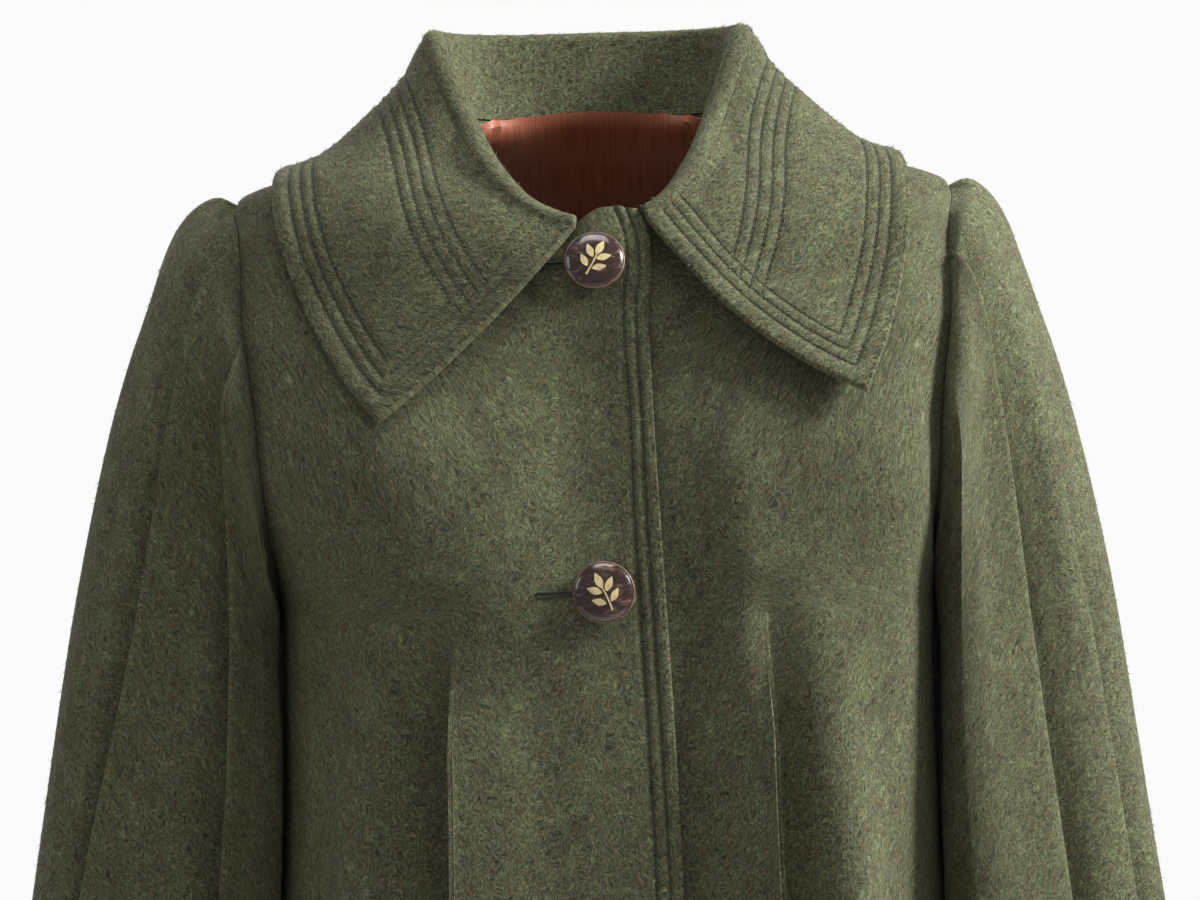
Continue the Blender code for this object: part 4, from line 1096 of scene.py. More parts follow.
@lru_cache(maxsize=None)
def loden():
    # Wool cloth, fulled and brushed: short fibres lie along the nap in streaks, pale, brown and blue-green
    # ones among the green, with soft clouds where the nap was stroked. It is matt, and its tips catch light at
    # the rim.
    colours = bpy.context.scene.coat_colours
    made, tree, shader = new_material(
        "Fulled wool loden", Roughness=0.92, IOR=1.45, Specular_IOR_Level=0.2, Sheen_Weight=0.1,
        Sheen_Roughness=0.45, Sheen_Tint=opaque(linear("#c9cbb0")),
    )
    nap = add(tree, "ShaderNodeUVMap", uv_map="Nap").outputs["UV"]
    # The fibres wander: their places are pushed about by up to 4.5 mm, in waves of some 9 mm.
    wave = add(
        tree, "ShaderNodeTexNoise", {"Vector": nap, "Scale": 1 / (9 * MM), "Detail": 2.0},
        noise_dimensions="2D",
    )
    wander = add(
        tree, "ShaderNodeVectorMath", {0: wave.outputs["Color"], 1: (0.5, 0.5, 0.5)}, operation="SUBTRACT"
    )
    nap = add(
        tree, "ShaderNodeVectorMath", {0: wander.outputs[0], 1: (9 * MM, 6 * MM, 0), 2: nap},
        operation="MULTIPLY_ADD",
    ).outputs[0]
    layer = {}
    for key, across, length, detail, shift in (  # sizes in millimetres, across and along the nap
        ("fibre", 0.5, 1.3, 4.0, 0.0), ("tuft", 1.4, 2.6, 2.0, 11.0), ("straw", 0.45, 2.2, 1.0, 23.0),
        ("rust", 0.6, 2.4, 1.0, 37.0), ("teal", 0.8, 2.4, 1.0, 51.0), ("mottle", 5.5, 7.5, 3.0, 67.0),
        ("cloud", 24.0, 34.0, 3.0, 83.0),
    ):
        place = add(
            tree, "ShaderNodeMapping",
            {"Vector": nap, "Location": (shift, shift, 0), "Scale": (1 / (across * MM), 1 / (length * MM), 1)},
        )
        layer[key] = add(
            tree, "ShaderNodeTexNoise",
            {"Vector": place.outputs[0], "Scale": 1.0, "Detail": detail, "Roughness": 0.62, "Distortion": 0.7},
            noise_dimensions="2D",
        ).outputs[0]
    mixed = add(
        tree, "ShaderNodeMath", {0: layer["tuft"], 1: 0.6, 2: layer["fibre"]}, operation="MULTIPLY_ADD"
    )
    ramp = add(tree, "ShaderNodeValToRGB", {"Fac": mixed.outputs[0]})
    stops = ramp.color_ramp.elements
    stops[0].position, stops[0].color = 0.57, opaque(colours.wool_dark)
    stops[1].position, stops[1].color = 1.0, opaque(colours.wool_light)
    stops.new(0.78).color = opaque(colours.wool)
    tone = ramp.outputs["Color"]
    for key, start, amount in (("straw", 0.62, 0.55), ("rust", 0.62, 0.50), ("teal", 0.60, 0.45)):
        share = add(
            tree, "ShaderNodeMapRange",
            {"Value": layer[key], "From Min": start, "From Max": start + 0.10, "To Max": amount},
        )
        tone = add(
            tree, "ShaderNodeMix", {0: share.outputs[0], 6: tone, 7: opaque(getattr(colours, key))},
            data_type="RGBA",
        ).outputs[2]
    for key, thin, full in (  # where the nap is thin it looks browner, and where it is full greener
        ("mottle", (0.87, 0.81, 0.82, 1), (1.12, 1.18, 1.13, 1)),
        ("cloud", (0.91, 0.86, 0.88, 1), (1.08, 1.14, 1.08, 1)),
    ):
        share = add(tree, "ShaderNodeMapRange", {"Value": layer[key], "From Min": 0.32, "From Max": 0.68})
        tint = add(tree, "ShaderNodeMix", {0: share.outputs[0], 6: thin, 7: full}, data_type="RGBA")
        tone = add(
            tree, "ShaderNodeVectorMath", {0: tone, 1: tint.outputs[2]}, operation="MULTIPLY"
        ).outputs[0]
    # Sewn rows press thin lines into the cloth; the mesh holds how far each point is from the sewn edges.
    # Along each row, and where the Groove attribute marks a buttonhole slit, the colour is darkened as painted
    # shade.
    edge = add(tree, "ShaderNodeAttribute", attribute_name="Rows").outputs["Vector"]
    edge = add(tree, "ShaderNodeSeparateXYZ", {0: edge}).outputs
    inside = add(tree, "ShaderNodeMapRange", {"Value": edge[2], "From Min": 11 * MM, "From Max": 15 * MM})
    pressed = add(tree, "ShaderNodeAttribute", attribute_name="Groove").outputs["Fac"]
    for distance, first, last, within in (
        (edge[0], OUTER_ROWS[0], len(OUTER_ROWS) - 1, 1.0),
        (edge[1], MIDDLE_ROWS[-1][0], len(MIDDLE_ROWS) - 1, inside.outputs[0]),
    ):
        step = add(tree, "ShaderNodeMath", {0: distance, 1: first * MM}, operation="SUBTRACT").outputs[0]
        step = add(tree, "ShaderNodeMath", {0: step, 1: ROW_STEP * MM}, operation="DIVIDE").outputs[0]
        row = add(tree, "ShaderNodeMath", {0: step}, operation="ROUND").outputs[0]
        row = add(tree, "ShaderNodeClamp", {"Value": row, "Min": 0.0, "Max": float(last)}).outputs[0]
        aside = add(tree, "ShaderNodeMath", {0: step, 1: row}, operation="SUBTRACT").outputs[0]
        aside = add(tree, "ShaderNodeMath", {0: aside}, operation="ABSOLUTE").outputs[0]
        line = add(
            tree, "ShaderNodeMapRange",
            {
                "Value": aside, "From Min": 0.15 / ROW_STEP, "From Max": 1.1 / ROW_STEP,
                "To Min": 1.0, "To Max": 0.0,
            },
            interpolation_type="SMOOTHSTEP",
        ).outputs[0]
        line = add(tree, "ShaderNodeMath", {0: line, 1: within}, operation="MULTIPLY").outputs[0]
        pressed = add(tree, "ShaderNodeMath", {0: pressed, 1: line}, operation="MAXIMUM").outputs[0]
    # Painted shade: in the rows and the slits the colour falls to 0.64 of itself.
    shade = add(tree, "ShaderNodeMapRange", {"Value": pressed, "To Min": 1.0, "To Max": 0.64}).outputs[0]
    tone = add(tree, "ShaderNodeVectorMath", {0: tone, "Scale": shade}, operation="SCALE").outputs[0]
    tree.links.new(tone, shader.inputs["Base Color"])
    bump = add(tree, "ShaderNodeBump", {"Height": mixed.outputs[0], "Strength": 0.6, "Distance": 0.4 * MM})
    bump = add(
        tree, "ShaderNodeBump",
        {"Height": pressed, "Strength": 0.8, "Distance": 0.5 * MM, "Normal": bump.outputs[0]}, invert=True,
    )
    tree.links.new(bump.outputs[0], shader.inputs["Normal"])
    return made


@lru_cache(maxsize=None)
def loose_wool():
    # Single wool fibres that stand off the cloth: each has the colour it was dyed, matt with a pale rim of
    # sheen.
    made, tree, shader = new_material(
        "Loose wool fibres", Roughness=0.9, IOR=1.45, Specular_IOR_Level=0.2, Sheen_Weight=0.1,
        Sheen_Roughness=0.45, Sheen_Tint=opaque(linear("#c9cbb0")),
    )
    dyed = add(tree, "ShaderNodeVertexColor", layer_name="Fibre")
    tree.links.new(dyed.outputs["Color"], shader.inputs["Base Color"])
    return made


@lru_cache(maxsize=None)
def sewing_thread():
    # Twisted polyester core thread: dark, a little shiny along the ply, uneven where the wool's fuzz lies on
    # it.
    colours = bpy.context.scene.coat_colours
    made, tree, shader = new_material(
        "Polyester sewing thread", Roughness=0.55, IOR=1.5, Sheen_Weight=0.15, Sheen_Roughness=0.4
    )
    where = add(tree, "ShaderNodeTexCoord").outputs["Object"]
    # The ply is 0.4 mm; it is drawn at 0.8 mm, the finest that shows.
    ply = add(tree, "ShaderNodeTexNoise", {"Vector": where, "Scale": 1 / (0.8 * MM), "Detail": 1.0})
    ramp = add(tree, "ShaderNodeValToRGB", {"Fac": ply.outputs[0]})
    stops = ramp.color_ramp.elements
    stops[0].position, stops[0].color = 0.3, opaque(Vector(colours.thread) * 0.55)
    stops[1].position, stops[1].color = 0.75, opaque(Vector(colours.thread) * 1.9)
    tree.links.new(ramp.outputs["Color"], shader.inputs["Base Color"])
    bump = add(tree, "ShaderNodeBump", {"Height": ply.outputs[0], "Strength": 0.5, "Distance": 0.2 * MM})
    tree.links.new(bump.outputs[0], shader.inputs["Normal"])
    return made


@lru_cache(maxsize=None)
def satin():
    # Acetate satin: long floats of thread lie one way, so it shines in soft streaks and shows a fine diagonal
    # twill.
    colours = bpy.context.scene.coat_colours
    made, tree, shader = new_material(
        "Acetate lining satin", Roughness=0.47, IOR=1.47, Anisotropic=0.5, Sheen_Weight=0.2,
        Sheen_Roughness=0.3,
    )
    cloth = add(tree, "ShaderNodeUVMap", uv_map="Nap").outputs["UV"]
    # Twill lines are 0.35 mm apart; they are drawn at 1.1 mm, the finest that shows.
    turned = add(tree, "ShaderNodeMapping", {"Vector": cloth, "Rotation": (0, 0, math.radians(63))})
    twill = add(
        tree, "ShaderNodeTexWave",
        {"Vector": turned.outputs[0], "Scale": 2 * math.pi / (20 * 1.1 * MM), "Distortion": 0.6},
    )
    slub = add(tree, "ShaderNodeMapping", {"Vector": cloth, "Scale": (1 / (1.2 * MM), 1 / (26 * MM), 1)})
    streak = add(
        tree, "ShaderNodeTexNoise", {"Vector": slub.outputs[0], "Scale": 1.0, "Detail": 2.0},
        noise_dimensions="2D",
    )
    mixed = add(
        tree, "ShaderNodeMath", {0: twill.outputs[1], 1: 0.35, 2: streak.outputs[0]}, operation="MULTIPLY_ADD"
    )
    ramp = add(tree, "ShaderNodeValToRGB", {"Fac": mixed.outputs[0]})
    stops = ramp.color_ramp.elements
    stops[0].position, stops[0].color = 0.3, opaque(Vector(colours.lining) * 0.62)
    stops[1].position, stops[1].color = 0.95, opaque(Vector(colours.lining) * 1.25)
    tree.links.new(ramp.outputs["Color"], shader.inputs["Base Color"])
    bump = add(tree, "ShaderNodeBump", {"Height": mixed.outputs[0], "Strength": 0.35, "Distance": 0.25 * MM})
    tree.links.new(bump.outputs[0], shader.inputs["Normal"])
    return made


@lru_cache(maxsize=None)
def horn():
    # Cast polyester in imitation of horn, polished: near-black brown with smoky veins under a clear glossy
    # skin that has picked up fine handling marks.
    colours = bpy.context.scene.coat_colours
    made, tree, shader = new_material(
        "Cast polyester horn", IOR=1.54, Coat_Weight=0.6, Coat_Roughness=0.06, Coat_IOR=1.5
    )
    where = add(tree, "ShaderNodeTexCoord").outputs["Object"]
    turned = add(
        tree, "ShaderNodeMapping", {"Vector": where, "Rotation": (0.3, 0.5, 0.6), "Scale": (1.0, 1.0, 2.6)}
    )
    vein = add(
        tree, "ShaderNodeTexNoise",
        {
            "Vector": turned.outputs[0], "Scale": 1 / (7 * MM), "Detail": 4.0, "Roughness": 0.6,
            "Distortion": 0.8,
        },
    )
    ramp = add(tree, "ShaderNodeValToRGB", {"Fac": vein.outputs[0]})
    stops = ramp.color_ramp.elements
    stops[0].position, stops[0].color = 0.38, opaque(Vector(colours.horn) * 0.55)
    stops[1].position, stops[1].color = 0.74, opaque(colours.horn_vein)
    stops.new(0.55).color = opaque(colours.horn)
    tree.links.new(ramp.outputs["Color"], shader.inputs["Base Color"])
    marks = add(tree, "ShaderNodeTexNoise", {"Vector": where, "Scale": 1 / (1.4 * MM), "Detail": 3.0})
    polish = add(
        tree, "ShaderNodeMapRange",
        {"Value": marks.outputs[0], "From Min": 0.35, "From Max": 0.75, "To Min": 0.14, "To Max": 0.30},
    )
    tree.links.new(polish.outputs[0], shader.inputs["Roughness"])
    return made


@lru_cache(maxsize=None)
def horn_rim():
    # The turned edge of the button, in a paler, duller brown than its face.
    colours = bpy.context.scene.coat_colours
    made, tree, shader = new_material("Worn horn edge", IOR=1.54, Roughness=0.34)
    where = add(tree, "ShaderNodeTexCoord").outputs["Object"]
    rim_grain = add(tree, "ShaderNodeTexNoise", {"Vector": where, "Scale": 1 / (2.2 * MM), "Detail": 3.0})
    ramp = add(tree, "ShaderNodeValToRGB", {"Fac": rim_grain.outputs[0]})
    stops = ramp.color_ramp.elements
    stops[0].position, stops[0].color = 0.35, opaque(Vector(colours.horn_vein) * 0.45)
    stops[1].position, stops[1].color = 0.7, opaque(Vector(colours.horn_vein) * 1.1)
    tree.links.new(ramp.outputs["Color"], shader.inputs["Base Color"])
    return made


@lru_cache(maxsize=None)
def cream_inlay():
    # Cream casting resin let into the button: even, slightly yellowed, with faint cloudy grain under the
    # polish.
    colours = bpy.context.scene.coat_colours
    made, tree, shader = new_material(
        "Cream casting resin", IOR=1.54, Roughness=0.3, Coat_Weight=0.4, Coat_Roughness=0.08
    )
    where = add(tree, "ShaderNodeTexCoord").outputs["Object"]
    grain = add(tree, "ShaderNodeTexNoise", {"Vector": where, "Scale": 1 / (2.5 * MM), "Detail": 3.0})
    ramp = add(tree, "ShaderNodeValToRGB", {"Fac": grain.outputs[0]})
    stops = ramp.color_ramp.elements
    stops[0].position, stops[0].color = 0.3, opaque(Vector(colours.inlay) * 0.72)
    stops[1].position, stops[1].color = 0.65, opaque(colours.inlay)
    tree.links.new(ramp.outputs["Color"], shader.inputs["Base Color"])
    return made


@lru_cache(maxsize=None)
def studio_floor():
    # Matt white emulsion on board: pale and plain, with a faint roller stipple.
    made, tree, shader = new_material("Matt emulsion floor", Roughness=0.85)
    where = add(tree, "ShaderNodeTexCoord").outputs["Object"]
    stipple = add(tree, "ShaderNodeTexNoise", {"Vector": where, "Scale": 1 / (30 * MM), "Detail": 3.0})
    ramp = add(tree, "ShaderNodeValToRGB", {"Fac": stipple.outputs[0]})
    stops = ramp.color_ramp.elements
    stops[0].color, stops[1].color = opaque(linear("#dfddd8")), opaque(linear("#efeeea"))
    tree.links.new(ramp.outputs["Color"], shader.inputs["Base Color"])
    return made


def belongs(piece, slot, *nodes):
    """Lets a finished piece move with the coat and stand for its solids, which are hidden; slot is not used."""
    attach(piece, "root")
    if nodes:
        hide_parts(*nodes)
    return piece


def rim(count, free):
    """How far each edge of a panel swells: rounded where it is free, nearly square where it is sewn."""

    def swell(r, c):
        names = np.where(c == 0, "first", np.where(c == count - 1, "last", np.where(r == 0, "top", "hem")))
        return np.where(np.isin(names, free), FREE_EDGE, SEAM_GAP / 2)

    return swell


class COAT_OT_fronts(bpy.types.Operator):
    """Two lapped fronts with their nap, the sewn lap edge and five worked buttonholes"""

    bl_idname = "coat.fronts"
    bl_label = "Fronts"

    def execute(self, context):
        sizes = context.scene.coat_sizes
        for side, mirror in (("right", -1), ("left", 1)):
            grid = cut()[side]
            out = normals(grid)
            groove, apart = np.zeros(grid.shape[:2]), None
            stitched = []
            if side == "right":
                grid, groove = self.lap(grid, out)
                out = normals(grid)
                walked = walk(grid, 1)
                # The first two sewn rows lie at the lap's own distances, where the shader paints their shade;
                # the third is never reached.
                apart = np.minimum(walked + (OUTER_ROWS[0] - LAP_ROWS[0]) * MM, 18.7 * MM)
                apart = apart[..., None] * (1, 0, 0)
                for inset in np.array(LAP_ROWS) * MM:
                    stitched.append(trace(-walked.T, -inset, swap(grid), swap(out)))
            turned = np.array([mirror, 1, 1])
            name = f"front_{side}"
            cloth = shell(
                f"{name}_cloth", grid * turned, out * turned, sizes.wall, loden(), 0,
                rim(grid.shape[1], ("first", "hem")), groove=groove, edges_at=apart, beyond=len(PLEAT_OUTER),
            )
            belongs(cloth, "loden", name)
            extra = [loose_fibres(
                f"{name}_nap", grid * turned, out * turned, loose_wool(), 0, FIBRES["front"],
                edges=((1, 0, 900),),
            )]
            if side == "right":
                lines = [(spots * turned, sides * turned) for spots, sides in stitched]
                extra.append(sewn(f"{name}_topstitching", lines, sewing_thread()))
                extra.append(self.buttonholes(grid, turned))
            for piece in extra:
                belongs(piece, "loden")
        return {"FINISHED"}

    def lap(self, grid, out):
        """The lap edge: a thick rolled edge with two sewn rows, and at each buttonhole a slit of painted shade.
        """
        walked = walk(grid, 1)

        def bump(at, width):
            return np.exp(-(((walked - at) / width) ** 2))

        sunk = sum(bump(inset * MM, LAP_ROW_SOFT) for inset in LAP_ROWS)
        ridge = sum(share * bump(at * MM, width * MM) for at, width, share in LAP_RIDGES)
        grid = grid + out * (LAP_RIDGE * ridge - LAP_ROW_DEPTH * sunk)[..., None]
        # Each buttonhole's slit is not cut: it is painted shade, a dark line that the cloth's shader reads from
        # this.
        groove = np.zeros(grid.shape[:2])
        for z in BUTTON_HEIGHTS:
            within = ease(*HOLE_STARTS, grid[..., 0]) * (1 - ease(*HOLE_ENDS, grid[..., 0]))
            groove = groove + within * np.exp(-(((grid[..., 2] - z) / HOLE_SOFT) ** 2))
        return grid, np.clip(0.8 * groove, 0, 1)

    def buttonholes(self, grid, turned):
        """Worked buttonholes: two banks of slanting threads beside each slit."""
        points, faces, total = [], [], 0
        tree = surface_tree((grid, False))
        for z in BUTTON_HEIGHTS:
            spots, ways, outs = [], [], []
            for x in HOLE_THREADS:
                for bank in (-1, 1):
                    aim = Vector((x, -0.4, z + bank * HOLE_BANK))
                    hit, normal, _, _ = tree.ray_cast(aim, Vector((0, 1, 0)))
                    spots.append(np.array(hit) + np.array(normal) * 0.25 * MM)
                    ways.append((1.0, 0.0, -bank * 1.15))
                    outs.append(np.array(normal))
            made, made_faces = spindles(
                np.array(spots) * turned, np.array(ways) * turned, np.array(outs) * turned, 2.5 * MM, 0.42 * MM
            )
            points.append(made)
            faces.append(made_faces + total)
            total += len(made)
        points, faces = np.concatenate(points), np.concatenate(faces)
        return add_mesh("front_right_buttonholes", points, faces, sewing_thread())


def swap(part):
    """Rows for columns."""
    return part.swapaxes(0, 1)


class COAT_OT_back(bpy.types.Operator):
    """The plain back with its nap"""

    bl_idname = "coat.back"
    bl_label = "Back"

    def execute(self, context):
        grid = cut()["back"]
        out = -normals(grid)
        cloth = shell(
            "back_cloth", grid, out, context.scene.coat_sizes.wall, loden(), 0, rim(grid.shape[1], ("hem",)),
        )
        belongs(cloth, "loden", "back")
        nap = belongs(loose_fibres("back_nap", grid, out, loose_wool(), 0, FIBRES["back"]), "loden")
        return {"FINISHED"}


class COAT_OT_sleeves(bpy.types.Operator):
    """Two wide pleated sleeves with their nap"""

    bl_idname = "coat.sleeves"
    bl_label = "Sleeves"

    def execute(self, context):
        for side, folds, spread, puff, mirror, nap_turn in (
            ("right", FOLDS_RIGHT, SLEEVE_SPREAD_RIGHT, SLEEVE_PUFF_RIGHT, -1, 70),
            ("left", FOLDS_LEFT, SLEEVE_SPREAD_LEFT, SLEEVE_PUFF_LEFT, 1, -70),
        ):
            name, turned = f"sleeve_{side}", np.array([mirror, 1, 1])
            grid = sleeve_panel(name, side, folds, spread, puff)
            out = -normals(grid, closed=True)
            # The seam allowance turns in behind the body panels.
            away = unit((grid[0] - ARMHOLE_MIDDLE) * (0, 1, 1))
            deep = grid[0] - away * SLEEVE_TUCK
            hidden = np.stack([deep - np.array([SLEEVE_TUCK_DEPTH, 0, 0]), deep])
            hidden_out = np.stack([away, unit(away - np.array([1.0, 0, 0]))])
            grid, out, hidden, hidden_out = (part * turned for part in (grid, out, hidden, hidden_out))
            cloth = shell(
                f"{name}_cloth", np.concatenate([hidden, grid]), np.concatenate([hidden_out, out]),
                context.scene.coat_sizes.wall, loden(), nap_turn,
                lambda r, c: np.where(r == 0, SLEEVE_TUCK_EDGE, FREE_EDGE), closed=True,
            )
            belongs(cloth, "loden", name)
            nap = loose_fibres(f"{name}_nap", grid, out, loose_wool(), nap_turn, FIBRES["sleeve"], closed=True)
            belongs(nap, "loden")
        return {"FINISHED"}


class COAT_OT_collar(bpy.types.Operator):
    """The turned-down collar with its corded rows of topstitching and its nap"""

    bl_idname = "coat.collar"
    bl_label = "Collar"

    def execute(self, context):
        sizes = context.scene.coat_sizes
        shares = np.concatenate(
            [np.linspace(0, 0.34, 17), np.linspace(0.34, 0.60, 20)[1:], np.linspace(0.60, 0.87, 19)[1:],
             np.linspace(0.87, 1, 25)[1:]]
        )
        right = half_collar(cut()["right_body"], "right", shares, sizes.collar_wall, sizes.wall) * (-1, 1, 1)
        left = half_collar(cut()["left_body"], "left", shares, sizes.collar_wall, sizes.wall)
        grid = np.concatenate([right[:, :0:-1], left], axis=1)
        out = -normals(grid)
        grid = grid + out * sizes.collar_wall / 2

        fall = grid[FIRST_FALL:]
        outer_line = along(grid[-1], np.linspace(0, 1, 1200))
        to_outer = near(fall, outer_line)
        to_front = np.minimum(
            near(fall, along(fall[:, 0], np.linspace(0, 1, 300))),
            near(fall, along(fall[:, -1], np.linspace(0, 1, 300))),
        )
        # The middle rows run on past the shoulder in one sweep.
        swept = to_outer
        for _ in range(SWEEP_SMOOTHING):
            wide = np.pad(swept, ((0, 0), (1, 1)), mode="edge")
            swept = (wide[:, :-2] + 2 * swept + wide[:, 2:]) / 4
        to_outer = to_outer + (swept - to_outer) * ease(*SWEEP, to_outer)
        sunk = np.zeros(fall.shape[:2])
        outer_rows = [(to_outer, to_front, inset, inset) for inset in OUTER_ROWS]
        front_rows = [(to_front, to_outer, inset, inset) for inset in OUTER_ROWS]
        middle_rows = [(to_outer, to_front, inset, end) for inset, end in MIDDLE_ROWS]
        for distance, beside, inset, end in outer_rows + front_rows + middle_rows:
            row = np.exp(-(((distance - inset * MM) / ROW_SOFT) ** 2))
            sunk = np.maximum(sunk, row * ease(-ROW_END, 0, beside - end * MM))
        # On the right leaf the rows beside the front edge are sunk less deep and given no painted shade.
        worn = (np.arange(fall.shape[1]) < fall.shape[1] // 2) & (to_front < to_outer)
        sunk = np.where(worn, ROW_WORN * sunk, sunk)
        edge = np.minimum(to_outer, to_front)
        swell = EDGE_SWELL * np.exp(-(((edge - EDGE_SWELL_AT) / EDGE_SWELL_REACH) ** 2))
        # Each point's distances from the sewn edges, from which the shader paints shade along the rows; beside
        # the right leaf's front edge they are pushed out of its reach.
        apart = np.zeros(grid.shape)
        apart[FIRST_FALL:] = np.stack([np.where(worn, edge + ROW_FAR, edge), to_outer, to_front], axis=-1)
        moved = np.zeros(grid.shape[:2])
        moved[FIRST_FALL:] = swell - sizes.groove * sunk
        grid = grid + out * moved[..., None]
        out = -normals(grid)

        cloth = shell(
            "collar_cloth", grid, out, sizes.collar_wall, loden(), 90,
            rim(grid.shape[1], ("first", "last", "hem")), edges_at=apart,
        )
        belongs(cloth, "loden", "collar")
        lines = self.rows(grid[FIRST_FALL:], out[FIRST_FALL:], to_outer, to_front)
        sewing = belongs(sewn("collar_topstitching", lines, sewing_thread()), "loden")
        last_row, last_column = grid.shape[0] - 2, grid.shape[1] - 2
        nap = loose_fibres(
            "collar_nap", grid, out, loose_wool(), 90, FIBRES["collar"],
            edges=((0, last_row, 700), (1, 0, 260), (1, last_column, 260)),
        )
        belongs(nap, "loden")
        return {"FINISHED"}

    def rows(self, fall, out, to_outer, to_front):
        """Every sewn row as a line of points: along the outer edge, in the middle and along the front edges."""
        lines = []
        for inset, end in [(size, size) for size in OUTER_ROWS] + list(MIDDLE_ROWS):
            spots, sides, beside = trace(to_outer, inset * MM, fall, out, to_front)
            keep = beside >= end * MM
            lines.append((spots[keep], sides[keep]))
        half = fall.shape[1] // 2
        for part in (slice(None, half), slice(None, half, -1)):
            for inset in OUTER_ROWS:
                layers = [swap(layer[:, part][:, ::-1]) for layer in (to_front, fall, out, to_outer)]
                found = trace(layers[0], inset * MM, *layers[1:])
                if found:
                    spots, sides, beside = found
                    keep = beside >= inset * MM
                    lines.append((spots[keep], sides[keep]))
        return lines


class COAT_OT_lining(bpy.types.Operator):
    """The strip of satin lining inside the back of the neck"""

    bl_idname = "coat.lining"
    bl_label = "Lining"

    def execute(self, context):
        sizes = context.scene.coat_sizes
        grid = lining_panel(sizes.wall)
        # Soft pulls where the lining is eased into the neck.
        x, drop = grid[..., 0], walk(grid, 0)
        ripple = RIPPLE * np.sin(x / RIPPLE_WAVE + 2.2 * np.sin(x / RIPPLE_SWAY)) * ease(0, RIPPLE_DROP, drop)
        out = normals(grid)
        grid = grid + out * np.maximum(ripple, RIPPLE_LEAST)[..., None]
        cloth = shell("back_neck_lining_cloth", grid, out, sizes.lining_wall, satin(), 0, 0.4 * MM)
        belongs(cloth, "lining", "back_neck_lining")
        return {"FINISHED"}


